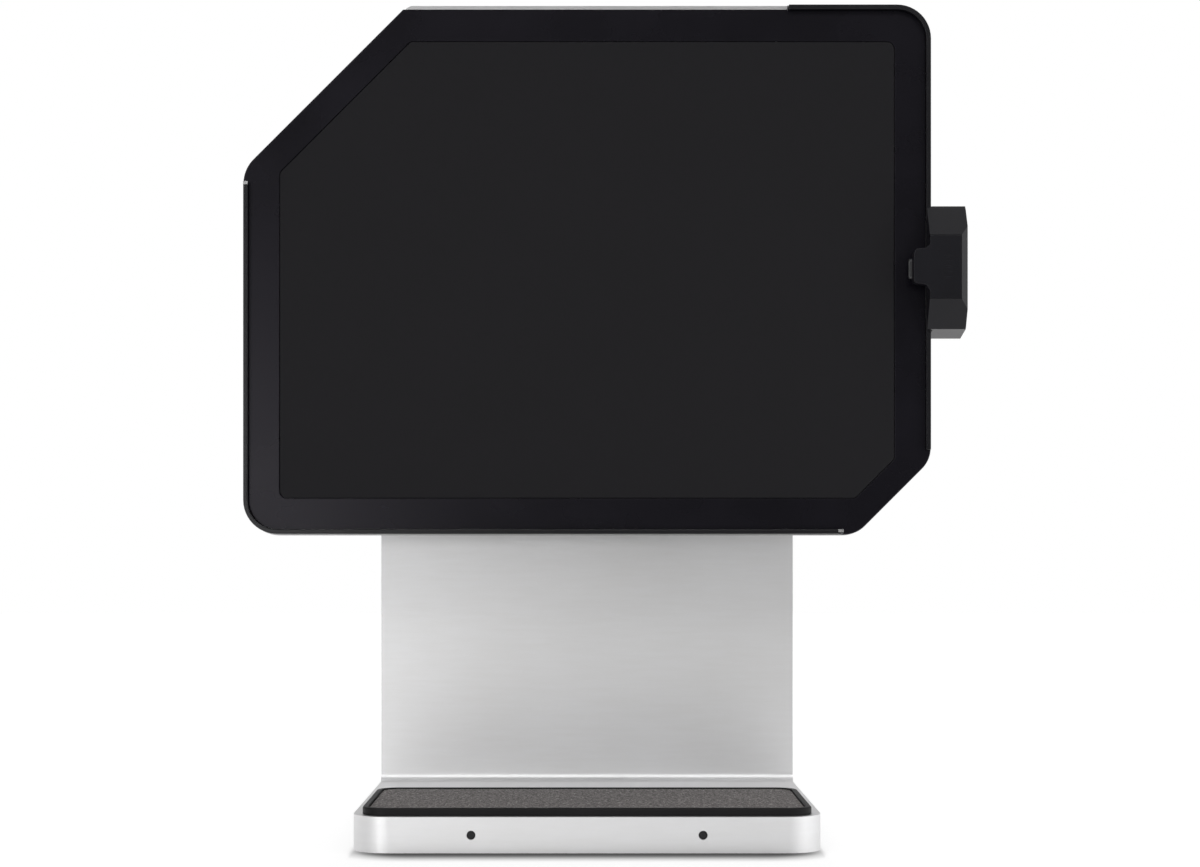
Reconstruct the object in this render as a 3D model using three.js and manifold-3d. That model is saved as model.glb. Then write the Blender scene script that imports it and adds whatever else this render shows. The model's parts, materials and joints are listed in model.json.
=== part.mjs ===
// Desktop tablet stand: a charging pad, a plate that tilts and turns, and a sliding plug-in connector.
// Millimetres, +Z up. The origin is the middle of the footprint on the desk, +X is to the right as the user
// sees it, and +Y points away from the user.
import * as THREE from "three";
import { mergeVertices } from "three/addons/utils/BufferGeometryUtils.js";
import Module from "manifold-3d";

const wasm = await Module();
wasm.setup();

// ---- Driving dimensions ----
const GAP = 0.3; // clearance between separate pieces
const WALL = 3; // cast aluminium wall of the stand

const BASE_WIDTH = 177.4;
const BASE_DEPTH = 162;
const BASE_BOTTOM = 1;
const BASE_TOP = 14.6;
const FRONT_CORNER = 14; // plan radius of the two front corners
const BACK_CORNER = 4;
const EDGE_ROUND = 1;
const INDICATOR_X = 43.5;
const INDICATOR_Z = 7.8;
const INDICATOR_R = 1.6;
const SCREW_X = 78; // the four screws under the base
const SCREW_ROWS = [-66, 50];
const SCREW_R = 1.5;
const SCREW_HEAD_R = 2.8;

const COLUMN_FRONT = 59;
const COLUMN_BACK = 81;
const COLUMN_TOP = 243;
const COLUMN_FILLET = 4;

const TRAY_WIDTH = 170.4;
const TRAY_FRONT = -77.5;
const TRAY_BACK = 2.5;
const TRAY_TOP = 17.6;
const TRAY_CORNER = 9;
const TRAY_RIM = 2.2;
const TRAY_INSERT = 11.6; // underside of the part of the tray that drops into the base
const TRAY_LEDGE = 7; // how far the tray's rim rests on the base all round
const FABRIC = 0.9; // thickness of the woven pad
const COIL_SPACING = 80; // two charging coils, centre to centre
const COIL_R = 22;
const COIL_HOLE_R = 9;

const HINGE_Y = 70;
const HINGE_Z = 230;
const SHAFT_R = 4;
const BARREL_R = 10;
const BARREL_HALF = 44;
const NOTCH_HALF = 46; // half width of the notch that the hinge barrel turns in
const NOTCH_FLOOR = 216;
const NOTCH_WALL = 2.5;

const HEAD_HALF_WIDTH = 142.1;
const HEAD_HALF_HEIGHT = 109.35;
const HEAD_Z = 230.4; // height of the tablet plate's centre
const HEAD_CORNER = 14;
const UPPER_LEFT_CUT = 67.7; // legs of the two cut corners
const LOWER_RIGHT_CUT = 30.7;
const LIP_FRONT = 14; // lips stand in front of the plate and hold the tablet's edges
const LIP_WIDTH = 1.9;
const PLATE_FRONT = 17;
const PLATE_BACK = 18.6;
const HEAD_BACK = 28;
const HEAD_EDGE = 3; // rounding of the plate's back edge
const SHELL_WALL = 2;
const TOP_STRIP = 1.5; // the aluminium edge shows this far above the black plate
const PAD_MARGIN = 14.9;
const PAD_FRONT = 16.7;
const PAD_THICKNESS = 1.2;
const PAD_UPPER_CUT = 54.2;
const PAD_LOWER_CUT = 16.2;
const LOWER_LIP_TOP = 35.8; // where the lower left lip ends on the left side, from the plate's centre
const LOWER_LIP_RIGHT = 105.9;
const UPPER_LIP_LEFT = 83.4;
const UPPER_LIP_BOTTOM = -74.5;

const HUB_R = 40;
const DISC_R = 42;
const SPINDLE_R = 12;
const CABLE_BORE_R = 5;

const CONNECTOR_FRONT = 4.5;
const CONNECTOR_LEFT = 140.3;
const CONNECTOR_RIGHT = 156.2;
const CONNECTOR_SHOULDER = 12.5;
const CONNECTOR_HALF_FRONT = 13.1;
const CONNECTOR_SHOULDER_UP = 24.2; // the shoulders, above and below the connector's middle
const CONNECTOR_SHOULDER_DOWN = 24.9;
const CONNECTOR_SHOULDER_BEVEL = 1.8; // along the upper shoulder
const CONNECTOR_HALF_BACK = 27.8;
const COVER_BACK = 9.8; // back of the front cover, whose hood reaches over the tablet's bezel
const HOOD_LEFT = 133.3;
const HOOD_HALF_HEIGHT = 6.6;
const PLUG_Y = 13.5;
const PLUG_TIP = 132.9;
const PLUG_HALF_HEIGHT = 4.17;
const PLUG_HALF_THICK = 1.28;
const PLUG_ROUND = 1.1;
const PLUG_WALL = 0.4;
const CONNECTOR_CHAMFER = 2.8; // along the front right edge
const CARRIAGE_HALF = 20;
const RAIL_HEIGHT = 3.7;

// ---- Finishes ----
const finish = (color, roughness, metalness) => ({ color, roughness, metalness });
const ALUMINIUM = finish(0xc3c3c4, 0.42, 0.9);
const BLACK_PLASTIC = finish(0x1b1b1e, 0.45, 0);
const SOFT_BLACK = finish(0x232325, 0.85, 0);
const CONNECTOR_BLACK = finish(0x2a2a2e, 0.5, 0);
const GREY_FABRIC = finish(0x66615f, 0.95, 0);
const RUBBER = finish(0x17171a, 0.9, 0);
const STEEL = finish(0x9a9a9c, 0.35, 1);
const BOARD_GREEN = finish(0x1d4a35, 0.6, 0);
const COPPER = finish(0xb5703c, 0.4, 1);
const FERRITE = finish(0x3b3838, 0.8, 0);
const MAGNET = finish(0xb9bbbf, 0.25, 1);
const LIGHT_PIPE = finish(0x55585c, 0.3, 0);
const CABLE_GREY = finish(0x303034, 0.7, 0);

// ---- Geometry helpers ----
// A closed three.js geometry as a solid that can be cut and joined.
function solid(geometry) {
  const bare = geometry.clone();
  bare.deleteAttribute("normal");
  bare.deleteAttribute("uv");
  const merged = mergeVertices(bare, 1e-4);
  const vertProperties = new Float32Array(merged.attributes.position.array);
  const triVerts = new Uint32Array(merged.index.array);
  return new wasm.Manifold(new wasm.Mesh({ numProp: 3, vertProperties, triVerts }));
}

function geometryOf(shape) {
  const mesh = shape.getMesh();
  const geometry = new THREE.BufferGeometry();
  geometry.setAttribute("position", new THREE.BufferAttribute(mesh.vertProperties, 3));
  geometry.setIndex(new THREE.BufferAttribute(mesh.triVerts, 1));
  const faceted = geometry.toNonIndexed();
  faceted.computeVertexNormals();
  return faceted;
}

const join = (first, ...others) => others.reduce((all, other) => all.add(other), first);
const cut = (first, ...others) => others.reduce((all, other) => all.subtract(other), first);

// A block between two values on each axis.
function block([x0, x1], [y0, y1], [z0, z1]) {
  const box = new THREE.BoxGeometry(x1 - x0, y1 - y0, z1 - z0);
  return solid(box.translate((x0 + x1) / 2, (y0 + y1) / 2, (z0 + z1) / 2));
}

// A round bar along one axis, from one value to another; (a, b) is its centre on the other two axes.
function bar(axis, radius, [from, to], a, b, sides = 32) {
  const cylinder = new THREE.CylinderGeometry(radius, radius, to - from, sides);
  const middle = (from + to) / 2;
  if (axis === "x") return solid(cylinder.rotateZ(Math.PI / 2).translate(middle, a, b));
  if (axis === "y") return solid(cylinder.translate(a, middle, b));
  return solid(cylinder.rotateX(Math.PI / 2).translate(a, b, middle));
}

// A shape whose corners are rounded. Each corner is [across, up, radius], in counterclockwise order.
function roundedShape(corners) {
  const shape = new THREE.Shape();
  corners.forEach(([x, y, radius], i) => {
    const before = corners[(i + corners.length - 1) % corners.length];
    const after = corners[(i + 1) % corners.length];
    const corner = new THREE.Vector2(x, y);
    const back = new THREE.Vector2(before[0], before[1]).sub(corner).normalize();
    const onward = new THREE.Vector2(after[0], after[1]).sub(corner).normalize();
    const half = Math.acos(THREE.MathUtils.clamp(back.dot(onward), -1, 1)) / 2;
    const reach = radius / Math.tan(half);
    const start = corner.clone().addScaledVector(back, reach);
    const end = corner.clone().addScaledVector(onward, reach);
    if (i === 0) shape.moveTo(start.x, start.y);
    else shape.lineTo(start.x, start.y);
    if (radius === 0) return;
    const towards = back.clone().add(onward).normalize();
    const centre = corner.clone().addScaledVector(towards, radius / Math.sin(half));
    const startAngle = Math.atan2(start.y - centre.y, start.x - centre.x);
    const endAngle = Math.atan2(end.y - centre.y, end.x - centre.x);
    const clockwise = back.cross(onward) > 0;
    shape.absarc(centre.x, centre.y, radius, startAngle, endAngle, clockwise);
  });
  shape.closePath();
  return shape;
}

function extruded(shape, depth, curveSegments, bevel = 0) {
  return new THREE.ExtrudeGeometry(shape, {
    depth: depth - 2 * bevel,
    curveSegments,
    bevelEnabled: bevel > 0,
    bevelThickness: bevel,
    bevelSize: bevel,
    bevelOffset: -bevel,
    bevelSegments: 3,
  }).translate(0, 0, bevel);
}

// A plan outline (X, Y) raised from one height to another.
function slab(shape, [z0, z1], curveSegments = 6) {
  return solid(extruded(shape, z1 - z0, curveSegments).translate(0, 0, z0));
}

// A front outline (X, Z) with a thickness along Y.
function panel(shape, [y0, y1], curveSegments = 6, bevel = 0) {
  const geometry = extruded(shape, y1 - y0, curveSegments, bevel);
  return solid(geometry.rotateX(Math.PI / 2).translate(0, y1, 0));
}

// A side outline (Y, Z) with a width along X.
function profile(shape, [x0, x1], curveSegments = 8) {
  const turn = new THREE.Matrix4().makeBasis(
    new THREE.Vector3(0, 1, 0),
    new THREE.Vector3(0, 0, 1),
    new THREE.Vector3(1, 0, 0),
  );
  return solid(extruded(shape, x1 - x0, curveSegments).applyMatrix4(turn).translate(x0, 0, 0));
}

function rectangle([x0, x1], [y0, y1], radius = 0, farRadius = radius) {
  return roundedShape([
    [x0, y0, radius],
    [x1, y0, radius],
    [x1, y1, farRadius],
    [x0, y1, farRadius],
  ]);
}

const group = new THREE.Group();

function place(name, shape, look, parent = group) {
  const mesh = new THREE.Mesh(geometryOf(shape), new THREE.MeshStandardMaterial(look));
  mesh.name = name;
  parent.add(mesh);
}

const both = (half) => [-half, half];

// ---- Stand: one L-shaped aluminium casting ----
const HALF_WIDTH = BASE_WIDTH / 2;
const HALF_DEPTH = BASE_DEPTH / 2;
const INNER_HALF = HALF_WIDTH - WALL;
const COVER_THICKNESS = 2;
const COVER_FRONT = COLUMN_BACK - COVER_THICKNESS;
const COVER_BOTTOM = 4;
const COVER_TOP = COLUMN_TOP - WALL;
const LID_TOP = 3;
const screwPlaces = [-1, 1].flatMap((side) => SCREW_ROWS.map((y) => [side * SCREW_X, y]));

function standShell() {
  const side = roundedShape([
    [-HALF_DEPTH, BASE_BOTTOM, 0],
    [COLUMN_BACK, BASE_BOTTOM, 0],
    [COLUMN_BACK, COLUMN_TOP, EDGE_ROUND],
    [COLUMN_FRONT, COLUMN_TOP, EDGE_ROUND],
    [COLUMN_FRONT, BASE_TOP, COLUMN_FILLET],
    [-HALF_DEPTH, BASE_TOP, EDGE_ROUND],
  ]);
  const plan = rectangle(both(HALF_WIDTH), both(HALF_DEPTH), FRONT_CORNER, BACK_CORNER);
  const outside = profile(side, both(HALF_WIDTH), 6).intersect(slab(plan, [0, COLUMN_TOP + 1]));
  const innerPlan = rectangle(both(INNER_HALF), both(HALF_DEPTH - WALL), FRONT_CORNER - WALL, 1);
  const baseHollow = slab(innerPlan, [0, BASE_TOP - WALL]);
  const columnHollow = block(
    both(INNER_HALF),
    [COLUMN_FRONT + WALL, COLUMN_BACK + 1],
    [COVER_BOTTOM, COVER_TOP],
  );
  const notchCasing = block(
    both(NOTCH_HALF + NOTCH_WALL),
    [0, COLUMN_BACK - COVER_THICKNESS - GAP],
    [NOTCH_FLOOR - NOTCH_WALL, COLUMN_TOP],
  );
  const notch = block(both(NOTCH_HALF), [COLUMN_FRONT - 1, COLUMN_BACK + 1], [NOTCH_FLOOR, COLUMN_TOP + 1]);
  const shaftHole = bar("x", SHAFT_R + GAP, both(NOTCH_HALF + 5), HINGE_Y, HINGE_Z);
  const trayHole = block(
    both(TRAY_WIDTH / 2 - TRAY_LEDGE),
    [TRAY_FRONT + TRAY_LEDGE, TRAY_BACK - TRAY_LEDGE],
    [BASE_TOP - WALL - 1, BASE_TOP + 1],
  );
  const bosses = screwPlaces.map(([x, y]) => bar("z", 4, [LID_TOP + GAP, BASE_TOP - 1], x, y, 20));
  const pilots = screwPlaces.map(([x, y]) => bar("z", SCREW_R + GAP, [0, 11], x, y, 16));
  const lightHoles = [-1, 1].map((s) =>
    bar("y", INDICATOR_R, [-HALF_DEPTH - 1, -HALF_DEPTH + WALL + 1], s * INDICATOR_X, INDICATOR_Z, 24),
  );
  const hollow = join(baseHollow, cut(columnHollow, notchCasing));
  const shell = cut(outside, hollow, notch, shaftHole, trayHole, ...lightHoles);
  return cut(join(shell, ...bosses.map((boss) => boss.subtract(trayHole))), ...pilots);
}
place("stand_shell", standShell(), ALUMINIUM);

function bottomCover() {
  const depth = [GAP + WALL - HALF_DEPTH, HALF_DEPTH - WALL - GAP];
  const plan = rectangle(both(INNER_HALF - GAP), depth, FRONT_CORNER - WALL - GAP, 1);
  const heads = screwPlaces.map(([x, y]) => bar("z", SCREW_HEAD_R + 0.5, [0, 2.3], x, y, 20));
  const holes = screwPlaces.map(([x, y]) => bar("z", SCREW_R + GAP, [0, 4], x, y, 16));
  return cut(slab(plan, [BASE_BOTTOM + GAP, LID_TOP]), ...heads, ...holes);
}
place("bottom_cover", bottomCover(), BLACK_PLASTIC);

const footPlan = rectangle(both(83), [-75.5, 75.5], 10, 6);
place("foot_mat", slab(footPlan, [0, BASE_BOTTOM]), RUBBER);

screwPlaces.forEach(([x, y], i) => {
  const head = bar("z", SCREW_HEAD_R, [BASE_BOTTOM + GAP, 2], x, y, 20);
  const shank = bar("z", SCREW_R, [1.8, 10], x, y, 16);
  place(`base_screw_${i + 1}`, join(head, shank), STEEL);
});

const weight = block([-72, 72], [-70, 52], [LID_TOP + GAP, 8.8]);
place("base_weight", weight, STEEL);

[-1, 1].forEach((s) => {
  const length = [-HALF_DEPTH - 0.1, -HALF_DEPTH + WALL + 1];
  const lens = bar("y", INDICATOR_R - GAP / 2, length, s * INDICATOR_X, INDICATOR_Z, 24);
  place(s < 0 ? "indicator_left" : "indicator_right", lens, LIGHT_PIPE);
});

// ---- Charging pad ----
const trayOutline = (inset) =>
  rectangle(
    both(TRAY_WIDTH / 2 - inset),
    [TRAY_FRONT + inset, TRAY_BACK - inset],
    Math.max(TRAY_CORNER - inset, 1),
  );

function chargingTray() {
  const rim = slab(trayOutline(0), [BASE_TOP + GAP, TRAY_TOP]);
  const insert = slab(trayOutline(TRAY_LEDGE + GAP), [TRAY_INSERT, BASE_TOP + 1]);
  const fabricRecess = slab(trayOutline(TRAY_RIM), [TRAY_TOP - FABRIC - 2 * GAP, TRAY_TOP + 1]);
  const coilSpace = slab(trayOutline(TRAY_LEDGE + 2), [TRAY_INSERT - 1, TRAY_TOP - FABRIC - 2 * GAP - 1]);
  return cut(join(rim, insert), fabricRecess, coilSpace);
}
place("charging_tray", chargingTray(), BLACK_PLASTIC);

const fabric = slab(trayOutline(TRAY_RIM + GAP), [TRAY_TOP - FABRIC - GAP, TRAY_TOP - GAP]);
place("charging_fabric", fabric, GREY_FABRIC);

const padMiddle = (TRAY_FRONT + TRAY_BACK) / 2;
[-1, 1].forEach((s) => {
  const x = (s * COIL_SPACING) / 2;
  const winding = bar("z", COIL_R, [13.4, 14.9], x, padMiddle);
  const coil = cut(winding, bar("z", COIL_HOLE_R, [13, 15.4], x, padMiddle));
  place(s < 0 ? "charging_coil_left" : "charging_coil_right", coil, COPPER);
});
place("ferrite_sheet", block(both(66), [padMiddle - 25, padMiddle + 25], [12.4, 13.1]), FERRITE);
place("charger_board", block(both(60), [padMiddle - 22, padMiddle + 22], [9.6, 11.2]), BOARD_GREEN);

// ---- Column electronics and rear cover ----
const BOARD_BACK = 68.1;
const PORT_FRONT = BOARD_BACK + GAP;
const PORT_BACK = COLUMN_BACK - 0.4;
const PORT_Z = 42;
const UPPER_PORT_Z = 66;
const port = (name, x, z, width, height, depth, cavity) => ({ name, x, z, width, height, depth, cavity });
const ports = [
  port("ethernet_jack", -52, PORT_Z, 16, 13.5, 11, [12, 8.6]),
  port("hdmi_socket", -29, PORT_Z, 15, 6, 8, [13.6, 3.6]),
  port("usb_a_socket_1", -8, PORT_Z, 14.4, 7, 9, [12.4, 3.9]),
  port("usb_a_socket_2", 12, PORT_Z, 14.4, 7, 9, [12.4, 3.9]),
  port("usb_a_socket_3", 32, PORT_Z, 14.4, 7, 9, [12.4, 3.9]),
  port("usb_c_socket", -29, UPPER_PORT_Z, 9.6, 4, 6.5, [8.4, 2.6]),
  port("sd_card_slot", 2, UPPER_PORT_Z, 27, 4.4, 9, [24.4, 2.4]),
];
const roundPorts = [
  { name: "dc_inlet", x: 55, z: PORT_Z, radius: 5, bore: 2.9, pin: 1 },
  { name: "audio_jack", x: 32, z: UPPER_PORT_Z, radius: 3.6, bore: 1.8, pin: 0 },
];

for (const { name, x, z, width, height, depth, cavity } of ports) {
  const body = block(
    [x - width / 2, x + width / 2],
    [PORT_FRONT, PORT_BACK],
    [z - height / 2, z + height / 2],
  );
  const [openWidth, openHeight] = cavity;
  const mouth = block(
    [x - openWidth / 2, x + openWidth / 2],
    [PORT_BACK - depth, PORT_BACK + 1],
    [z - openHeight / 2, z + openHeight / 2],
  );
  place(name, cut(body, mouth), name === "ethernet_jack" ? BLACK_PLASTIC : STEEL);
}
for (const { name, x, z, radius, bore, pin } of roundPorts) {
  const body = bar("y", radius, [PORT_FRONT, PORT_BACK], x, z, 24);
  let socket = cut(body, bar("y", bore, [PORT_BACK - 9, PORT_BACK + 1], x, z, 24));
  if (pin > 0) socket = socket.add(bar("y", pin, [PORT_BACK - 10, PORT_BACK - 1], x, z, 12));
  place(name, socket, BLACK_PLASTIC);
}
place("main_board", block([-72, 72], [66.5, BOARD_BACK], [25, 200]), BOARD_GREEN);
place("heat_spreader", block([-60, 60], [62.4, 66.2], [84, 190]), ALUMINIUM);

const VENT_COUNT = 15;
const VENT_PITCH = 7;
const VENT_HALF_WIDTH = 1.25;
const VENT_HEIGHTS = [150, 172];
function rearCover() {
  const panelShape = rectangle(both(INNER_HALF - GAP), [COVER_BOTTOM + GAP, COVER_TOP - GAP], 1.5);
  const cover = panel(panelShape, [COVER_FRONT, COLUMN_BACK], 4);
  const notch = block(
    both(NOTCH_HALF + NOTCH_WALL + GAP),
    [COVER_FRONT - 1, COLUMN_BACK + 1],
    [NOTCH_FLOOR - NOTCH_WALL - GAP, COLUMN_TOP],
  );
  const mouths = ports.map(({ x, z, width, height }) =>
    block(
      [x - width / 2 - GAP, x + width / 2 + GAP],
      [COVER_FRONT - 1, COLUMN_BACK + 1],
      [z - height / 2 - GAP, z + height / 2 + GAP],
    ),
  );
  const roundMouths = roundPorts.map(({ x, z, radius }) =>
    bar("y", radius + GAP, [COVER_FRONT - 1, COLUMN_BACK + 1], x, z, 24),
  );
  const vents = Array.from({ length: VENT_COUNT }, (unused, i) => {
    const x = (i - (VENT_COUNT - 1) / 2) * VENT_PITCH;
    const width = [x - VENT_HALF_WIDTH, x + VENT_HALF_WIDTH];
    return block(width, [COVER_FRONT - 1, COLUMN_BACK + 1], VENT_HEIGHTS);
  });
  return cut(cover, notch, ...mouths, ...roundMouths, ...vents);
}
place("rear_cover", rearCover(), ALUMINIUM);

// ---- Tilt hinge in the notch at the top of the column ----
const shaft = cut(
  bar("x", SHAFT_R, both(62), HINGE_Y, HINGE_Z),
  bar("x", 2.2, both(63), HINGE_Y, HINGE_Z, 20),
);
place("hinge_shaft", shaft, STEEL);

[-1, 1].forEach((s) => {
  const name = s < 0 ? "left" : "right";
  const span = (from, to) => (s < 0 ? [-to, -from] : [from, to]);
  const washer = cut(
    bar("x", 9, span(BARREL_HALF + GAP, NOTCH_HALF - GAP), HINGE_Y, HINGE_Z),
    bar("x", SHAFT_R + GAP, span(BARREL_HALF - 1, NOTCH_HALF + 1), HINGE_Y, HINGE_Z),
  );
  place(`friction_washer_${name}`, washer, STEEL);
  const blockSpan = span(NOTCH_HALF + NOTCH_WALL + GAP, 64);
  const bracket = cut(
    block(blockSpan, [COLUMN_FRONT + WALL + GAP, COVER_FRONT - GAP], [214, COVER_TOP - GAP]),
    bar("x", SHAFT_R + GAP, span(NOTCH_HALF, 66), HINGE_Y, HINGE_Z),
  );
  place(`hinge_bracket_${name}`, bracket, STEEL);
});

// The arm: a barrel round the shaft, two webs and the round plate that the head turns on.
const DISC_FRONT = 31.7;
const DISC_BACK = 36.7;
function tiltArm() {
  const barrel = bar("x", BARREL_R, both(BARREL_HALF), HINGE_Y, HINGE_Z, 40);
  const disc = bar("y", DISC_R, [DISC_FRONT, DISC_BACK], 0, HEAD_Z, 48);
  const webs = [[20, 30], [-30, -20]].map((x) => block(x, [DISC_BACK - 1, HINGE_Y - 4], [222, 238]));
  const bore = bar("x", SHAFT_R + GAP, both(BARREL_HALF + 1), HINGE_Y, HINGE_Z);
  const spindleBore = bar("y", SPINDLE_R + GAP, [DISC_FRONT - 1, DISC_BACK + 1], 0, HEAD_Z);
  return cut(join(barrel, disc, ...webs), bore, spindleBore);
}
place("tilt_arm", tiltArm(), ALUMINIUM);
place("arm_cover", block(both(19.7), [44, 59.4], [222, 225]), BLACK_PLASTIC);

// ---- Head: everything that turns with the tablet, placed round the plate's centre ----
const head = new THREE.Group();
head.position.z = HEAD_Z;
group.add(head);

// The plate's outline, a rectangle with two cut corners. The upper left cut is sharp at its top end.
function headOutline({ side = 0, top = 0, bottom = 0, upperCut, lowerCut, corner, sharp = 4 }) {
  const w = HEAD_HALF_WIDTH - side;
  const up = HEAD_HALF_HEIGHT - top;
  const down = HEAD_HALF_HEIGHT - bottom;
  return roundedShape([
    [-w, -down, corner],
    [w - lowerCut, -down, corner * 0.85],
    [w, lowerCut - down, corner * 0.85],
    [w, up, corner],
    [upperCut - w, up, sharp],
    [-w, up - upperCut, corner],
  ]);
}

// The same outline moved inwards all round by one amount.
function insetOutline(inset) {
  const shorter = inset * (2 - Math.SQRT2);
  return headOutline({
    side: inset,
    top: inset,
    bottom: inset,
    upperCut: UPPER_LEFT_CUT - shorter,
    lowerCut: LOWER_RIGHT_CUT - shorter,
    corner: HEAD_CORNER - inset,
    sharp: Math.max(4 - inset, 1),
  });
}

const lowerLipZone = block([-200, LOWER_LIP_RIGHT], [0, 40], [-200, LOWER_LIP_TOP]);
const upperLipZone = block([UPPER_LIP_LEFT, 200], [0, 40], [UPPER_LIP_BOTTOM, 200]);
const connectorGate = block([100, 200], [0, PLATE_FRONT - GAP], both(CARRIAGE_HALF + GAP));

function lip(zone) {
  const wall = cut(
    panel(insetOutline(0), [LIP_FRONT, PLATE_BACK]),
    panel(insetOutline(LIP_WIDTH), [LIP_FRONT - 1, PLATE_BACK + 1]),
  );
  return cut(wall.intersect(zone), connectorGate);
}
place("lip_lower_left", lip(lowerLipZone), BLACK_PLASTIC, head);
place("lip_upper_right", lip(upperLipZone), BLACK_PLASTIC, head);

const shellOutline = (inset) =>
  headOutline({
    side: 0.6 + inset,
    top: inset - 0.4,
    bottom: inset - 0.6,
    upperCut: UPPER_LEFT_CUT + 0.6,
    lowerCut: LOWER_RIGHT_CUT + 0.6,
    corner: HEAD_CORNER - inset,
    sharp: Math.max(4 - inset, 1),
  });
const SHELL_FRONT = PLATE_BACK + GAP;
const carriageSlot = block([110, 200], [20.7, 24.3], both(CARRIAGE_HALF + GAP));

function headRearShell() {
  const rounded = panel(shellOutline(0), [SHELL_FRONT - HEAD_EDGE, HEAD_BACK], 6, HEAD_EDGE);
  const outside = rounded.intersect(block(both(200), [SHELL_FRONT, 40], both(200)));
  const inside = panel(shellOutline(SHELL_WALL), [SHELL_FRONT - 1, HEAD_BACK - SHELL_WALL]);
  const cableHole = bar("y", CABLE_BORE_R, [HEAD_BACK - 5, HEAD_BACK + 5], 0, 0, 24);
  return cut(outside, inside, cableHole, carriageSlot);
}
place("head_rear_shell", headRearShell(), ALUMINIUM, head);

const padOutline = (inset) =>
  headOutline({
    side: PAD_MARGIN + inset,
    top: PAD_MARGIN + inset,
    bottom: PAD_MARGIN + inset,
    upperCut: PAD_UPPER_CUT,
    lowerCut: PAD_LOWER_CUT,
    corner: 3,
    sharp: 2,
  });

function headFrontPlate() {
  const face = panel(insetOutline(0), [PLATE_FRONT, PLATE_BACK]);
  const plug = panel(insetOutline(2 * SHELL_WALL), [PLATE_BACK - 0.5, 20]);
  const topEdge = block(both(200), [0, PLATE_BACK + 0.1], [HEAD_HALF_HEIGHT - TOP_STRIP, 200]);
  const lipSeat = cut(
    panel(insetOutline(-1), [LIP_FRONT, PLATE_BACK + GAP / 2]),
    panel(insetOutline(LIP_WIDTH + GAP), [LIP_FRONT - 1, PLATE_BACK + 1]),
  );
  const grow = (zone, x, z) => zone.add(zone.translate([x * GAP, 0, z * GAP]));
  const lowerSeat = lipSeat.intersect(grow(lowerLipZone, 1, 1));
  const upperSeat = lipSeat.intersect(grow(upperLipZone, -1, -1));
  const pocket = panel(padOutline(-GAP), [PLATE_FRONT - 1, PAD_FRONT + PAD_THICKNESS + GAP]);
  return cut(join(face, plug), topEdge, lowerSeat, upperSeat, pocket);
}
place("head_front_plate", headFrontPlate(), BLACK_PLASTIC, head);
place("head_grip_pad", panel(padOutline(0), [PAD_FRONT, PAD_FRONT + PAD_THICKNESS]), SOFT_BLACK, head);

const magnetPlaces = [-88, 0, 88].flatMap((x) => [[x, 60], [x, -60]]);
magnetPlaces.forEach(([x, z], i) => {
  const magnet = block([x - 18, x + 18], [20.3, 23.3], [z - 6, z + 6]);
  place(`magnet_${i + 1}`, magnet, MAGNET, head);
});
const keeper = cut(
  panel(rectangle(both(108), both(68), 4), [23.6, 24.8]),
  panel(rectangle(both(86), both(40), 4), [23, 26]),
);
place("magnet_keeper", keeper, STEEL, head);

// The hub is screwed to the head's back, and its spindle turns in the arm's round plate.
const hub = cut(
  join(
    bar("y", HUB_R, [HEAD_BACK + GAP, DISC_FRONT - GAP], 0, 0, 48),
    bar("y", SPINDLE_R, [HEAD_BACK + 1, 43], 0, 0),
  ),
  bar("y", CABLE_BORE_R, [HEAD_BACK, 44], 0, 0, 24),
);
place("rotation_hub", hub, STEEL, head);
const ring = (outer, inner, [from, to]) =>
  cut(bar("y", outer, [from, to], 0, 0), bar("y", inner, [from - 1, to + 1], 0, 0));
place("wave_washer", ring(17, SPINDLE_R + GAP, [DISC_BACK + GAP, 38.2]), STEEL, head);
place("spindle_nut", ring(16, SPINDLE_R + GAP, [38.5, 42.5]), STEEL, head);

place("ribbon_cable", block([-4, 112], [25.2, 25.6], both(6)), CABLE_GREY, head);

[-1, 1].forEach((s) => {
  const z = [CARRIAGE_HALF + GAP, CARRIAGE_HALF + GAP + RAIL_HEIGHT];
  const rail = block([114, 137], [20.4, 25.6], s < 0 ? [-z[1], -z[0]] : z);
  place(s < 0 ? "slide_rail_lower" : "slide_rail_upper", rail, STEEL, head);
});

// ---- Connector: slides out to the right to free the tablet ----
place("connector_carriage", block([116, 142.2], [21, 24], both(CARRIAGE_HALF)), STEEL, head);

const connectorSide = roundedShape([
  [CONNECTOR_FRONT, -CONNECTOR_HALF_FRONT, 0.6],
  [CONNECTOR_SHOULDER, -CONNECTOR_SHOULDER_DOWN, 1.5],
  [HEAD_BACK, -CONNECTOR_HALF_BACK, 1],
  [HEAD_BACK, CONNECTOR_HALF_BACK, 1],
  [CONNECTOR_SHOULDER + CONNECTOR_SHOULDER_BEVEL, CONNECTOR_SHOULDER_UP + CONNECTOR_SHOULDER_BEVEL, 0.6],
  [CONNECTOR_SHOULDER, CONNECTOR_SHOULDER_UP, 0.6],
  [CONNECTOR_FRONT, CONNECTOR_HALF_FRONT, 0.6],
]);
const HOUSING_LEFT = HEAD_HALF_WIDTH + 2 * GAP;

function connectorBlock() {
  const whole = profile(connectorSide, [CONNECTOR_LEFT, CONNECTOR_RIGHT], 3);
  const besideHead = block([0, HOUSING_LEFT], [LIP_FRONT - GAP, 60], both(60));
  const slope = roundedShape([
    [CONNECTOR_RIGHT - 2 * CONNECTOR_CHAMFER, CONNECTOR_FRONT - CONNECTOR_CHAMFER, 0],
    [CONNECTOR_RIGHT + CONNECTOR_CHAMFER, CONNECTOR_FRONT - CONNECTOR_CHAMFER, 0],
    [CONNECTOR_RIGHT + CONNECTOR_CHAMFER, CONNECTOR_FRONT + 2 * CONNECTOR_CHAMFER, 0],
  ]);
  return cut(whole, besideHead, slab(slope, both(60)));
}
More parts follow.
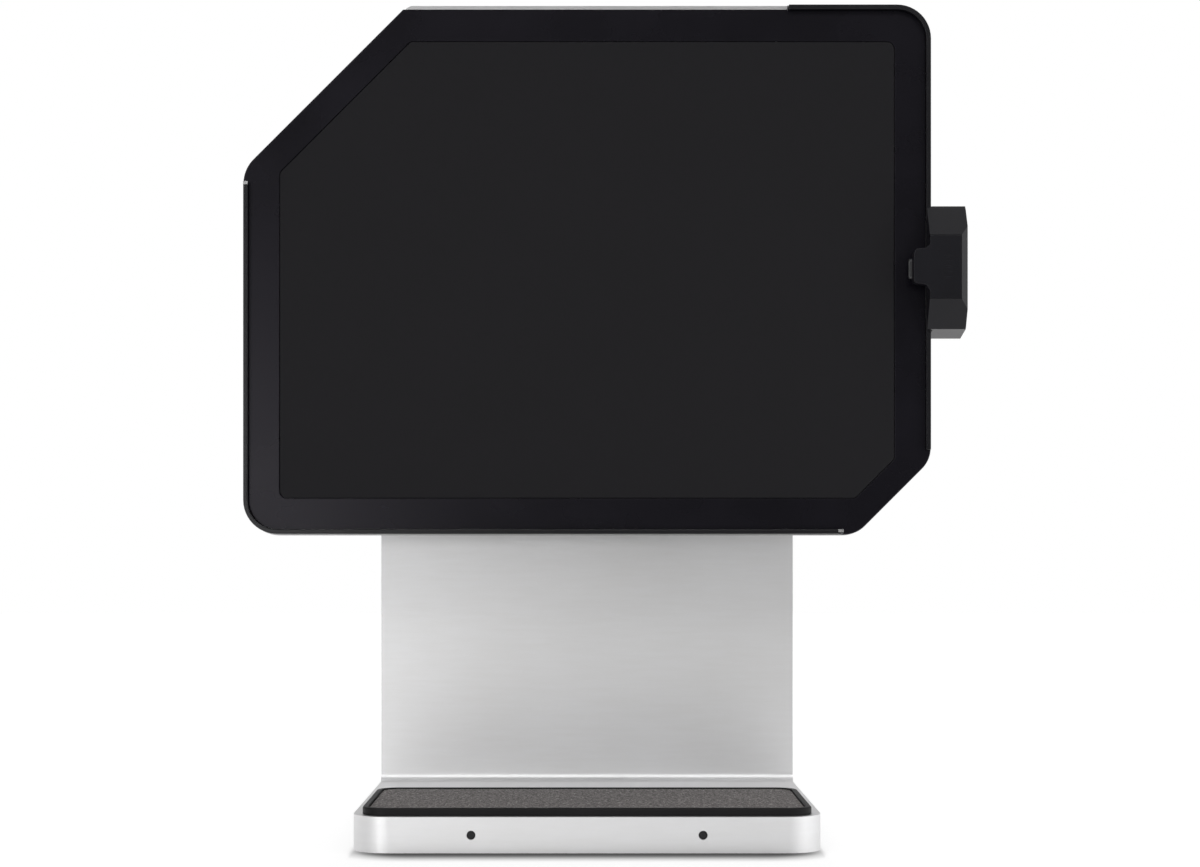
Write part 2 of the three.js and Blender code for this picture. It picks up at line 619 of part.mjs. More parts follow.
// The cover fills the flat front face, inside the sloping faces and the chamfer.
const coverSpace = (gap) =>
  block(
    [0, CONNECTOR_RIGHT - CONNECTOR_CHAMFER + gap],
    [0, COVER_BACK + gap],
    both(CONNECTOR_HALF_FRONT + gap),
  );
const plugRoot = block([100, 152], [PLUG_Y - 1.6, PLUG_Y + 1.6], both(4.5));
place("connector_housing", cut(connectorBlock(), coverSpace(GAP), plugRoot), CONNECTOR_BLACK, head);

function connectorCover() {
  const hoodOutline = roundedShape([
    [HOOD_LEFT, -HOOD_HALF_HEIGHT, 1.4],
    [139, -HOOD_HALF_HEIGHT - 0.9, 0.5],
    [141, -HOOD_HALF_HEIGHT - 3, 0],
    [141, HOOD_HALF_HEIGHT + 2.2, 0],
    [HOOD_LEFT + 0.9, HOOD_HALF_HEIGHT, 1.4],
  ]);
  const hood = panel(hoodOutline, [CONNECTOR_FRONT, COVER_BACK], 4);
  return join(connectorBlock().intersect(coverSpace(0)), hood);
}
place("connector_cover", connectorCover(), CONNECTOR_BLACK, head);

const plugShape = (grow, [x0, x1]) =>
  profile(
    roundedShape([
      [PLUG_Y - PLUG_HALF_THICK - grow, -PLUG_HALF_HEIGHT - grow, PLUG_ROUND + grow],
      [PLUG_Y + PLUG_HALF_THICK + grow, -PLUG_HALF_HEIGHT - grow, PLUG_ROUND + grow],
      [PLUG_Y + PLUG_HALF_THICK + grow, PLUG_HALF_HEIGHT + grow, PLUG_ROUND + grow],
      [PLUG_Y - PLUG_HALF_THICK - grow, PLUG_HALF_HEIGHT + grow, PLUG_ROUND + grow],
    ]),
    [x0, x1],
    4,
  );
const plugSleeve = cut(plugShape(0, [PLUG_TIP, 150]), plugShape(-PLUG_WALL, [PLUG_TIP - 1, 145]));
place("usb_c_plug", plugSleeve, STEEL, head);
const plugInsert = cut(
  plugShape(-PLUG_WALL - GAP, [PLUG_TIP + GAP, 144]),
  block([PLUG_TIP, 143], [PLUG_Y - 0.36, PLUG_Y + 0.36], both(3.1)),
);
place("plug_insert", plugInsert, BLACK_PLASTIC, head);

export default group;
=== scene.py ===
import json
import math

import bmesh
import bpy
import numpy as np
from mathutils import Matrix, Vector


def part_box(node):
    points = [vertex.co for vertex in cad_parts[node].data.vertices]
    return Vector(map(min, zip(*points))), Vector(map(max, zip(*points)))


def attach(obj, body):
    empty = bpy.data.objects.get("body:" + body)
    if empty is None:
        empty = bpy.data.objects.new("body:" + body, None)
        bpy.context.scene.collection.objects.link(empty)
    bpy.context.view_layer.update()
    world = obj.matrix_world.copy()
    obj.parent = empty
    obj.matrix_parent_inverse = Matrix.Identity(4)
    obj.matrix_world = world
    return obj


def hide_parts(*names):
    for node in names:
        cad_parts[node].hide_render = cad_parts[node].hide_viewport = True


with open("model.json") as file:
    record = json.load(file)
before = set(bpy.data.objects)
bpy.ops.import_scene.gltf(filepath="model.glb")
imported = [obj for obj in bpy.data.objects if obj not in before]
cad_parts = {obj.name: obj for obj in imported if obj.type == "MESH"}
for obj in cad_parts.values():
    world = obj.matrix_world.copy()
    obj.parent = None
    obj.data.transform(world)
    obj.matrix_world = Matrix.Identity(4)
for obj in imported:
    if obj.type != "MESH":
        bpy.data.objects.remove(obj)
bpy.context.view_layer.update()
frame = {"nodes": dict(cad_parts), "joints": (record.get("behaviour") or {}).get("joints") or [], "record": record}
MM = 0.001

# ---------------------------------------------------------------- dimensions
# Metres, from the frame's nodes; the few that no node's box gives are named here.
STAND_LOW, STAND_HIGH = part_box("stand_shell")
COLUMN_FRONT = 59 * MM
BASE_TOP = 14.6 * MM
WALL = 3 * MM
FILLET = 4 * MM
FRONT_CORNER = 14 * MM
BACK_CORNER = 4 * MM
NOTCH_HALF = 46 * MM
NOTCH_FLOOR = 216 * MM
NOTCH_WALL = 2.5 * MM

HINGE_Y, HINGE_Z = frame["joints"][0]["pos_m"][1:]
HEAD_Z = frame["joints"][1]["pos_m"][2]
LOWER_LIP_LOW, LOWER_LIP_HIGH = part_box("lip_lower_left")
UPPER_LIP_LOW, UPPER_LIP_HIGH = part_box("lip_upper_right")
HEAD_HALF_WIDTH = UPPER_LIP_HIGH.x
HEAD_HALF_HEIGHT = UPPER_LIP_HIGH.z - HEAD_Z
LIP_FRONT, LIP_BACK = UPPER_LIP_LOW.y, UPPER_LIP_HIGH.y
LIP_WIDTH = 1.9 * MM
PLATE_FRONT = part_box("head_front_plate")[0].y
HEAD_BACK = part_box("head_rear_shell")[1].y
PAD_LOW, PAD_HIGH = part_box("head_grip_pad")
HEAD_CORNER = 14 * MM
UPPER_CUT, LOWER_CUT = 67.7 * MM, 30.7 * MM
PAD_UPPER_CUT, PAD_LOWER_CUT = 54.2 * MM, 16.2 * MM
SEAM = 0.3 * MM
PLATE_OVERHANG = 0.3 * MM
SHAFT_BORE = 4.3 * MM
SPINDLE_BORE = 12.3 * MM

CONNECTOR_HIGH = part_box("connector_housing")[1]
COVER_LOW, COVER_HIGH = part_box("connector_cover")


# ---------------------------------------------------------------- mesh helpers
def rounded(corners, steps=10):
    """A counterclockwise outline of (u, v, radius) corners as a list of (point, inward normal)."""
    outline = []
    for i, (u, v, radius) in enumerate(corners):
        corner = Vector((u, v))
        back = (Vector(corners[i - 1][:2]) - corner).normalized()
        onward = (Vector(corners[(i + 1) % len(corners)][:2]) - corner).normalized()
        half = math.acos(max(-1, min(1, back.dot(onward)))) / 2
        towards = (back + onward).normalized()
        turn = 1 if back.x * onward.y - back.y * onward.x < 0 else -1
        radius = max(radius, 1e-6)
        centre = corner + towards * (radius / math.sin(half))
        start = corner + back * (radius / math.tan(half)) - centre
        end = corner + onward * (radius / math.tan(half)) - centre
        first = math.atan2(start.y, start.x)
        sweep = (math.atan2(end.y, end.x) - first + math.pi) % (2 * math.pi) - math.pi
        for k in range(steps + 1):
            angle = first + sweep * k / steps
            outward = Vector((math.cos(angle), math.sin(angle)))
            outline.append((centre + outward * radius, -outward * turn))
    return outline


def rectangle(low, high, radius, steps):
    """The outline of a rectangle between two (u, v) corners, all four rounded alike."""
    return rounded([(low[0], low[1], radius), (high[0], low[1], radius),
                    (high[0], high[1], radius), (low[0], high[1], radius)], steps)


def inset(outline, amount):
    return [point + normal * amount for point, normal in outline]


def front(point, depth):
    """Places an outline drawn in X and Z at a depth along Y."""
    return Vector((point[0], depth, point[1]))


def plan(point, height):
    return Vector((point[0], point[1], height))


def side(point, across):
    return Vector((across, point[0], point[1]))


def edge_loops(outline, place, at, inwards, radius, steps=5):
    """Loops that round an edge: from the side wall onto the flat end at `at`."""
    loops = []
    for k in range(steps + 1):
        angle = math.pi / 2 * k / steps
        drop = radius * (1 - math.sin(angle))
        loops.append([place(p, at + inwards * drop) for p in inset(outline, radius * (1 - math.cos(angle)))])
    loops.append([place(p, at) for p in inset(outline, radius * 1.25)])
    return loops


def linked(name, data):
    """A new object in the scene for a mesh, a lamp or the camera."""
    made = bpy.data.objects.new(name, data)
    bpy.context.scene.collection.objects.link(made)
    return made


def loft(name, loops):
    """A closed skin through loops of equally many points, with a flat cap at each end."""
    mesh = bpy.data.meshes.new(name)
    work = bmesh.new()
    rings = [[work.verts.new(p) for p in loop] for loop in loops]
    for low, high in zip(rings, rings[1:]):
        for i in range(len(low)):
            j = (i + 1) % len(low)
            work.faces.new((low[i], low[j], high[j], high[i]))
    work.faces.new(list(reversed(rings[0])))
    work.faces.new(rings[-1])
    bmesh.ops.remove_doubles(work, verts=work.verts, dist=1e-6)
    bmesh.ops.recalc_face_normals(work, faces=work.faces)
    work.to_mesh(mesh)
    work.free()
    return linked(name, mesh)


def prism(name, outline, place, low, high, low_edge=0.0, high_edge=0.0, steps=4):
    """An outline with a thickness, and rounded edges at either end."""
    loops = []
    if low_edge > 0:
        loops += reversed(edge_loops(outline, place, low, 1, low_edge, steps))
    else:
        loops.append([place(p, low) for p in inset(outline, 0)])
    if high_edge > 0:
        loops += edge_loops(outline, place, high, -1, high_edge, steps)
    else:
        loops.append([place(p, high) for p in inset(outline, 0)])
    return loft(name, loops)


def bake(made):
    """Applies the piece's modifiers to its mesh."""
    graph = bpy.context.evaluated_depsgraph_get()
    made.data = bpy.data.meshes.new_from_object(made.evaluated_get(graph))
    made.modifiers.clear()
    return made


def combine(made, other, operation="DIFFERENCE"):
    modifier = made.modifiers.new("combine", "BOOLEAN")
    modifier.operation = operation
    modifier.solver = "EXACT"
    modifier.object = other
    bake(made)
    bpy.data.objects.remove(other)
    return made


def soften(made, width, steps=3, angle=35):
    """Rounds every edge that is sharper than the angle."""
    modifier = made.modifiers.new("soften", "BEVEL")
    modifier.width = width
    modifier.segments = steps
    modifier.limit_method = "ANGLE"
    modifier.angle_limit = math.radians(angle)
    modifier.use_clamp_overlap = True
    return bake(made)


def smooth(made, angle=40):
    """Smooth shading that keeps creases and flat faces true."""
    mesh = made.data
    mesh.polygons.foreach_set("use_smooth", [True] * len(mesh.polygons))
    mesh.set_sharp_from_angle(angle=math.radians(angle))
    modifier = made.modifiers.new("normals", "WEIGHTED_NORMAL")
    modifier.keep_sharp = True
    modifier.weight = 80
    return bake(made)


def box_piece(name, low, high, radius=0.0):
    return prism(name, rectangle(low, high, radius, 4), plan, low[2], high[2])


def rod(name, axis, radius, low, high, centre, sides=48, edge=0.0):
    """A round bar along X, Y or Z; centre is its place on the other two axes."""
    place = {"x": side, "y": front, "z": plan}[axis]
    ring = []
    for i in range(sides):
        angle = 2 * math.pi * i / sides
        out = Vector((math.cos(angle), math.sin(angle)))
        ring.append((Vector(centre) + out * radius, -out))
    return prism(name, ring, place, low, high, edge, edge)


def finish_piece(made, body, slot, material, *nodes):
    made.data.materials.clear()
    made.data.materials.append(material)
    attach(made, body)
    if nodes:
        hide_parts(*nodes)
    return made


# ---------------------------------------------------------------- materials
def shader(name, color, roughness, metallic=0.0, specular=0.5):
    """A new material, its node tree and its Principled shader."""
    material = bpy.data.materials.new(name)
    material.use_nodes = True
    tree = material.node_tree
    surface = tree.nodes["Principled BSDF"]
    surface.inputs["Base Color"].default_value = (*color, 1)
    surface.inputs["Roughness"].default_value = roughness
    surface.inputs["Metallic"].default_value = metallic
    surface.inputs["Specular IOR Level"].default_value = specular
    return material, tree, surface


def object_coordinates(tree, scale=(1, 1, 1)):
    place = tree.nodes.new("ShaderNodeTexCoord")
    mapping = tree.nodes.new("ShaderNodeMapping")
    mapping.inputs["Scale"].default_value = scale
    tree.links.new(place.outputs["Object"], mapping.inputs["Vector"])
    return mapping.outputs["Vector"]


def noise(tree, vector, scale, detail=2.0, roughness=0.5):
    texture = tree.nodes.new("ShaderNodeTexNoise")
    texture.inputs["Scale"].default_value = scale
    texture.inputs["Detail"].default_value = detail
    texture.inputs["Roughness"].default_value = roughness
    tree.links.new(vector, texture.inputs["Vector"])
    return texture.outputs["Fac"]


def ramp(tree, value, stops):
    made = tree.nodes.new("ShaderNodeValToRGB")
    elements = made.color_ramp.elements
    while len(elements) < len(stops):
        elements.new(0.5)
    for element, (position, color) in zip(elements, stops):
        element.position = position
        element.color = (*color, 1)
    tree.links.new(value, made.inputs["Fac"])
    return made.outputs["Color"]


def spread(tree, value, low, high):
    made = tree.nodes.new("ShaderNodeMapRange")
    made.inputs["To Min"].default_value = low
    made.inputs["To Max"].default_value = high
    tree.links.new(value, made.inputs["Value"])
    return made.outputs["Result"]


def mixed(tree, first, second, share):
    """Two values averaged, with the second one's share."""
    made = tree.nodes.new("ShaderNodeMix")
    made.inputs["Factor"].default_value = share
    tree.links.new(first, made.inputs["A"])
    tree.links.new(second, made.inputs["B"])
    return made.outputs["Result"]


def bump(tree, surface, height, strength, distance):
    made = tree.nodes.new("ShaderNodeBump")
    made.inputs["Strength"].default_value = strength
    made.inputs["Distance"].default_value = distance
    tree.links.new(height, made.inputs["Height"])
    tree.links.new(made.outputs["Normal"], surface.inputs["Normal"])


def anodised_aluminium(name, tone, roughness):
    """Bead-blasted and anodised: a fine grain, faint rolling lines, and an unevenness in tone and gloss."""
    material, tree, surface = shader(name, (tone,) * 3, roughness, metallic=1.0)
    cloud = noise(tree, object_coordinates(tree), 14, 3)
    lines = noise(tree, object_coordinates(tree, (55, 80, 520)), 1, 4, 0.65)
    grain = noise(tree, object_coordinates(tree), 2600, 2, 0.7)
    uneven = mixed(tree, cloud, lines, 0.45)
    color = ramp(tree, uneven, [
        (0.34, (tone * 0.955, tone * 0.95, tone * 0.95)), (0.66, (tone, tone, tone * 1.01))])
    tree.links.new(color, surface.inputs["Base Color"])
    tree.links.new(spread(tree, cloud, roughness - 0.04, roughness + 0.05), surface.inputs["Roughness"])
    bump(tree, surface, grain, 0.22, 0.00006)
    return material


def moulded(name, color, roughness, specular, grain_scale, grain_depth, mottling=0.25,
            specular_tint=(1, 1, 1)):
    """A moulded or soft-touch plastic: a fine spark-eroded grain, and slight handling marks."""
    material, tree, surface = shader(name, color, roughness, specular=specular)
    surface.inputs["Specular Tint"].default_value = (*specular_tint, 1)
    where = object_coordinates(tree)
    cloud = noise(tree, where, 22, 4, 0.6)
    grain = noise(tree, where, grain_scale, 2, 0.6)
    dark = tuple(c * (1 - mottling) for c in color)
    light = tuple(c * (1 + mottling) for c in color)
    tree.links.new(ramp(tree, cloud, [(0.32, dark), (0.68, light)]), surface.inputs["Base Color"])
    tree.links.new(spread(tree, cloud, roughness - 0.05, roughness + 0.06), surface.inputs["Roughness"])
    bump(tree, surface, grain, 0.35, grain_depth)
    return material


def machined_steel(name, tone, roughness):
    material, tree, surface = shader(name, (tone, tone, tone * 1.02), roughness, metallic=1.0)
    where = object_coordinates(tree, (1, 40, 1))
    lines = noise(tree, where, 900, 3, 0.6)
    tree.links.new(spread(tree, lines, roughness - 0.08, roughness + 0.12), surface.inputs["Roughness"])
    bump(tree, surface, lines, 0.2, 0.00003)
    return material


def melange_fabric(name):
    """Grey melange cloth: light and dark fibres along both yarns, with soft wider patches."""
    material, tree, surface = shader(name, (0.1, 0.092, 0.09), 0.95, specular=0.1)
    surface.inputs["Sheen Weight"].default_value = 0.06
    surface.inputs["Sheen Roughness"].default_value = 0.6
    across = noise(tree, object_coordinates(tree, (280, 1900, 400)), 1, 3, 0.7)
    along = noise(tree, object_coordinates(tree, (1900, 420, 400)), 1, 3, 0.7)
    patch = noise(tree, object_coordinates(tree, (760, 480, 300)), 1, 3, 0.6)
    fibres = mixed(tree, across, along, 0.5)
    color = ramp(tree, mixed(tree, fibres, patch, 0.35), [
        (0.38, (0.03, 0.026, 0.0255)), (0.48, (0.1, 0.0905, 0.088)), (0.53, (0.16, 0.148, 0.1445)),
        (0.61, (0.36, 0.342, 0.336))])
    tree.links.new(color, surface.inputs["Base Color"])
    fuzz = noise(tree, object_coordinates(tree), 3200, 2)
    bump(tree, surface, fuzz, 0.5, 0.00012)
    return material


def plain_board(name):
    material, tree, surface = shader(name, (0.02, 0.11, 0.06), 0.45)
    tracks = noise(tree, object_coordinates(tree), 260, 1)
    color = ramp(tree, tracks, [(0.47, (0.016, 0.09, 0.05)), (0.53, (0.03, 0.15, 0.085))])
    tree.links.new(color, surface.inputs["Base Color"])
    return material


ALUMINIUM = anodised_aluminium("anodised_aluminium", 0.77, 0.43)
ARM_ALUMINIUM = anodised_aluminium("arm_aluminium", 0.68, 0.42)
CAP_ALUMINIUM = anodised_aluminium("cap_aluminium", 0.42, 0.4)
COVER_ALUMINIUM = anodised_aluminium("cover_aluminium", 0.7, 0.48)
# The same anodised aluminium in a darker tone: painted shade for the back shell's edge, which gets little light
# from above.
SHADED_SHELL_ALUMINIUM = anodised_aluminium("shell_aluminium_painted_shade", 0.5, 0.45)
BORDER_BLACK = moulded(
    "border_black", (0.0032, 0.0029, 0.0048), 0.27, 0.24, 1500, 0.00001, specular_tint=(0.95, 0.91, 1.0))
LIP_BLACK = moulded("lip_black", (0.0032, 0.003, 0.0045), 0.3, 0.36, 1800, 0.00002)
PAD_BLACK = moulded("pad_black", (0.0102, 0.0098, 0.0112), 0.88, 0.18, 1100, 0.00008, 0.06)
CONNECTOR_BLACK = moulded("connector_black", (0.004, 0.0038, 0.006), 0.36, 0.25, 1700, 0.00003)
TRAY_BLACK = moulded("tray_black", (0.0065, 0.006, 0.0064), 0.5, 0.16, 1500, 0.00004)
COVER_BLACK = moulded("cover_black", (0.012, 0.012, 0.013), 0.55, 0.35, 1200, 0.00005)
RUBBER = moulded("rubber_black", (0.012, 0.012, 0.012), 0.85, 0.3, 900, 0.0001)
LENS = moulded("smoked_lens", (0.008, 0.008, 0.009), 0.25, 0.3, 900, 0.00001)
STEEL = machined_steel("machined_steel", 0.56, 0.3)
DARK_STEEL = machined_steel("dark_steel", 0.3, 0.35)
# Very dark steel: partly the plug's own dark metal, partly painted shade on its tip.
DARK_SHADED_PLUG_STEEL = machined_steel("plug_steel_dark_and_painted_shade", 0.1, 0.5)
FABRIC = melange_fabric("melange_fabric")
BOARD = plain_board("solder_mask")
COPPER = machined_steel("wound_copper", 0.5, 0.35)
FERRITE = moulded("ferrite_grey", (0.03, 0.028, 0.028), 0.7, 0.4, 700, 0.00005)


# ---------------------------------------------------------------- stand
def stand_shell():
    low, high = STAND_LOW, STAND_HIGH
    profile = rounded([
        (low.y, low.z, 0), (high.y, low.z, 0), (high.y, high.z, 1.2 * MM),
        (COLUMN_FRONT, high.z, 1.2 * MM), (COLUMN_FRONT, BASE_TOP, FILLET), (low.y, BASE_TOP, 0)], 12)
    shell = prism("stand_body", profile, side, low.x - MM, high.x + MM)
    footprint = rounded([
        (low.x, low.y, FRONT_CORNER), (high.x, low.y, FRONT_CORNER),
        (high.x, high.y, BACK_CORNER), (low.x, high.y, BACK_CORNER)], 20)
    combine(shell, prism("footprint", footprint, plan, -MM, high.z + MM), "INTERSECT")
    notch = box_piece(
        "notch", (-NOTCH_HALF, COLUMN_FRONT - MM, NOTCH_FLOOR), (NOTCH_HALF, high.y + MM, high.z + MM))
    combine(shell, notch)
    soften(shell, 0.7 * MM, 3)
    inner = [(low.x + WALL, low.y + WALL), (high.x - WALL, high.y - WALL)]
    base_hollow = box_piece("base_hollow", (*inner[0], -MM), (*inner[1], BASE_TOP - WALL), 8 * MM)
    combine(shell, base_hollow)
    rear_mouth = box_piece(
        "rear_mouth", (low.x + WALL, COLUMN_FRONT + WALL, 4 * MM),
        (high.x - WALL, high.y + MM, NOTCH_FLOOR - NOTCH_WALL))
    combine(shell, rear_mouth)
    for sign in (-1, 1):
        ends = sorted((sign * (NOTCH_HALF + NOTCH_WALL), sign * (high.x - WALL)))
        ear = box_piece(
            "ear_hollow", (ends[0], COLUMN_FRONT + WALL, NOTCH_FLOOR - NOTCH_WALL - MM),
            (ends[1], high.y + MM, high.z - WALL))
        combine(shell, ear)
        lens_low, lens_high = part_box("indicator_right" if sign > 0 else "indicator_left")
        centre = (lens_low + lens_high) / 2
        hole = rod("light_hole", "y", 1.7 * MM, low.y - MM, low.y + WALL + MM, (centre.x, centre.z), 32)
        combine(shell, hole)
    shaft_hole = rod(
        "shaft_hole", "x", SHAFT_BORE, -NOTCH_HALF - 4 * MM, NOTCH_HALF + 4 * MM, (HINGE_Y, HINGE_Z), 40)
    combine(shell, shaft_hole)
    smooth(shell)
    finish_piece(shell, "stand", "aluminium", ALUMINIUM, "stand_shell")


def indicators():
    """Smoked light pipes, a little proud of the front."""
    for name in ("indicator_left", "indicator_right"):
        low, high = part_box(name)
        centre = ((low.x + high.x) / 2, (low.z + high.z) / 2)
        lens = rod(name + "_lens", "y", 1.55 * MM, low.y - 0.1 * MM, high.y, centre, 40, 0.35 * MM)
        smooth(lens)
        finish_piece(lens, "stand", "light_pipe", LENS, name)


# ---------------------------------------------------------------- charging pad
TRAY_LOW, TRAY_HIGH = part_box("charging_tray")
FABRIC_LOW, FABRIC_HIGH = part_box("charging_fabric")
TRAY_CORNER = 9 * MM
TRAY_RIM = 2.2 * MM
RIM_ROLL = 0.5 * MM


def charging_tray():
    outline = rectangle(TRAY_LOW, TRAY_HIGH, TRAY_CORNER, 14)
    edge = 0.8 * MM
    loops = [[plan(p, BASE_TOP + 0.03 * MM) for p in inset(outline, 0.3 * MM)],
             [plan(p, BASE_TOP + 0.25 * MM) for p in inset(outline, 0)]]
    loops += edge_loops(outline, plan, TRAY_HIGH.z, -1, edge, 6)
    loops.append([plan(p, TRAY_HIGH.z) for p in inset(outline, TRAY_RIM - RIM_ROLL)])
    for k in range(1, 5):
        angle = math.pi / 2 * k / 4
        around = TRAY_RIM - RIM_ROLL + RIM_ROLL * math.sin(angle)
        height = TRAY_HIGH.z - RIM_ROLL * (1 - math.cos(angle))
        loops.append([plan(p, height) for p in inset(outline, around)])
    loops.append([plan(p, FABRIC_LOW.z - 0.2 * MM) for p in inset(outline, TRAY_RIM)])
    tray = loft("charging_tray_rim", loops)
    smooth(tray)
    finish_piece(tray, "stand", "black_plastic", TRAY_BLACK, "charging_tray")


def charging_fabric():
    """A plain weave: yarns that pass over and under each other, pulled down at the tray's rim."""
    pitch = 1.25 * MM
    spacing = pitch / 4
    low, high = FABRIC_LOW, FABRIC_HIGH
    radius = TRAY_CORNER - TRAY_RIM
    columns = round((high.x - low.x) / spacing)
    rows = round((high.y - low.y) / spacing)
    xs = np.linspace(low.x, high.x, columns + 1)
    ys = np.linspace(low.y, high.y, rows + 1)
    x, y = np.meshgrid(xs, ys, indexing="ij")
    centre_x = np.clip(x, low.x + radius, high.x - radius)
    centre_y = np.clip(y, low.y + radius, high.y - radius)
    away = np.hypot(x - centre_x, y - centre_y)
    pull = np.where(away > radius, radius / np.maximum(away, 1e-9), 1.0)
    x = centre_x + (x - centre_x) * pull
    y = centre_y + (y - centre_y) * pull
    across = np.sin(math.pi * x / pitch)
    along = np.sin(math.pi * y / pitch)
    weave = across * along * 0.055 * MM
    yarn = (np.abs(across) + np.abs(along)) * 0.03 * MM
    slub = 0.02 * MM * np.sin(x * 2100 + 3 * np.sin(y * 900)) * np.sin(y * 1700 + 2 * np.sin(x * 700))
    edge = np.minimum.reduce([x - low.x, high.x - x, y - low.y, high.y - y])
    corner_edge = radius - np.hypot(x - centre_x, y - centre_y)
    in_corner = (x != centre_x) & (y != centre_y)
    edge = np.where(in_corner, np.minimum(edge, corner_edge), edge)
    tuck = np.exp(-np.maximum(edge, 0) / (0.5 * MM)) * 0.5 * MM
    z = high.z - 0.1 * MM + weave + yarn + slub - tuck
    points = np.stack([x, y, z], axis=-1).reshape(-1, 3)
    index = np.arange(points.shape[0]).reshape(columns + 1, rows + 1)
    faces = np.stack([index[:-1, :-1], index[1:, :-1], index[1:, 1:], index[:-1, 1:]], axis=-1).reshape(-1, 4)
    mesh = bpy.data.meshes.new("charging_pad_cloth")
    mesh.from_pydata(points.tolist(), [], faces.tolist())
    mesh.update()
    cloth = linked("charging_pad_cloth", mesh)
    mesh.polygons.foreach_set("use_smooth", [True] * len(mesh.polygons))
    finish_piece(cloth, "stand", "grey_fabric", FABRIC, "charging_fabric")


# ---------------------------------------------------------------- head
def head_outline(side_in=0.0, top_in=0.0, bottom_in=0.0, upper_cut=UPPER_CUT, lower_cut=LOWER_CUT,
                 corner=HEAD_CORNER, sharp=4 * MM):
    """The tablet plate's outline, a rectangle with two cut corners, round the plate's centre."""
    w = HEAD_HALF_WIDTH - side_in
    up = HEAD_Z + HEAD_HALF_HEIGHT - top_in
    down = HEAD_Z - HEAD_HALF_HEIGHT + bottom_in
    return rounded([
        (-w, down, corner), (w - lower_cut, down, corner * 0.85), (w, down + lower_cut, corner * 0.85),
        (w, up, corner), (upper_cut - w, up, sharp), (-w, up - upper_cut, corner)], 12)


def inset_head(amount):
    shorter = amount * (2 - math.sqrt(2))
    return head_outline(amount, amount, amount, UPPER_CUT - shorter, LOWER_CUT - shorter,
                        HEAD_CORNER - amount, max(4 * MM - amount, MM))


def pad_outline(grow=0.0):
    margin = HEAD_HALF_WIDTH - PAD_HIGH.x - grow
    return head_outline(margin, margin, margin, PAD_UPPER_CUT, PAD_LOWER_CUT, 3 * MM + grow, 2 * MM + grow)


def head_front_plate():
    """The black border. Its edge steps back under each lip, and its top edge is lower than the shell's."""
    outer = head_outline()
    pocket = pad_outline(0.18 * MM)
    back = LIP_BACK
    floor = PAD_HIGH.y + 0.1 * MM
    loops = [[front(p, back) for p in inset(outer, -PLATE_OVERHANG)]]
    for loop in edge_loops(outer, front, PLATE_FRONT, 1, 0.5 * MM, 4):
        loops.append([p + (front(n, 0) * -PLATE_OVERHANG) for p, (_, n) in zip(loop, outer)])
    for k in range(5):
        angle = math.pi / 2 * k / 4
        depth = PLATE_FRONT + 0.3 * MM * (1 - math.cos(angle))
        loops.append([front(p, depth) for p in inset(pocket, -0.3 * MM * (1 - math.sin(angle)))])
    loops.append([front(p, floor) for p in inset(pocket, 0)])
    plate = loft("tablet_plate", loops)
    top = HEAD_Z + HEAD_HALF_HEIGHT - 1.5 * MM
    strip = box_piece("strip", (-0.2, 0, top), (UPPER_LIP_LOW.x - SEAM, LIP_BACK + MM, top + 0.02))
    combine(plate, strip)
    combine(plate, lip_seat("lower_seat", "lower"))
    combine(plate, lip_seat("upper_seat", "upper"))
    smooth(plate, 30)
    finish_piece(plate, "head", "black_plastic", BORDER_BLACK, "head_front_plate")


def lip_zone(name, which, grow=0.0):
    """The block of space that a lip lies in."""
    far = 0.25
    if which == "lower":
        return box_piece(name, (-far, 0, 0), (LOWER_LIP_HIGH.x + grow, 0.05, LOWER_LIP_HIGH.z + grow))
    return box_piece(name, (UPPER_LIP_LOW.x - grow, 0, UPPER_LIP_LOW.z - grow), (far, 0.05, 0.5))


def lip_seat(name, which):
    ring = prism(name, inset_head(-3 * MM), front, LIP_FRONT - 2 * MM, LIP_BACK + MM)
    core_outline = inset_head(LIP_WIDTH + 0.12 * MM)
    core = prism(name + "_core", core_outline, front, LIP_FRONT - 3 * MM, LIP_BACK + 2 * MM)
    combine(ring, core)
    return combine(ring, lip_zone(name + "_zone", which, 0.02 * MM), "INTERSECT")


def lip(name, which, node):
    """A raised lip: a rounded ridge along the plate's edge."""
    outer = inset_head(0)
    low = LIP_BACK - 0.05 * MM
    wall = prism(name, outer, front, LIP_FRONT, low)
    core = prism(name + "_core", inset_head(LIP_WIDTH), front, LIP_FRONT - MM, low + MM)
    combine(wall, core)
    combine(wall, lip_zone(name + "_zone", which), "INTERSECT")
    if which == "upper":
        carriage_low, carriage_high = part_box("connector_carriage")
        gate = box_piece(
            "gate", (0.1, 0, carriage_low.z - SEAM), (0.2, PLATE_FRONT - SEAM, carriage_high.z + SEAM))
        combine(wall, gate)
    soften(wall, 0.45 * MM, 3)
    smooth(wall, 50)
    finish_piece(wall, "head", "black_plastic", LIP_BLACK, node)


def lip_caps():
    """The bare metal ends of the lower lip."""
    deep = (LIP_FRONT - 0.02 * MM, LIP_FRONT + 2 * MM)
    left, top, right = LOWER_LIP_LOW.x, LOWER_LIP_HIGH.z, LOWER_LIP_HIGH.x
    bottom = LOWER_LIP_LOW.z
    blocks = {
        "lip_end_left": ((left - 0.03 * MM, top - 0.7 * MM), (left + LIP_WIDTH, top + 0.6 * MM)),
        "lip_end_right": ((right - 2.1 * MM, bottom + 0.7 * MM),
                          (right + 0.1 * MM, bottom + LIP_WIDTH + 0.03 * MM)),
    }
    for name, (low, high) in blocks.items():
        cap = box_piece(name, (low[0], deep[0], low[1]), (high[0], deep[1], high[1]))
        soften(cap, 0.5 * MM, 4)
        smooth(cap)
        finish_piece(cap, "head", "aluminium", CAP_ALUMINIUM)


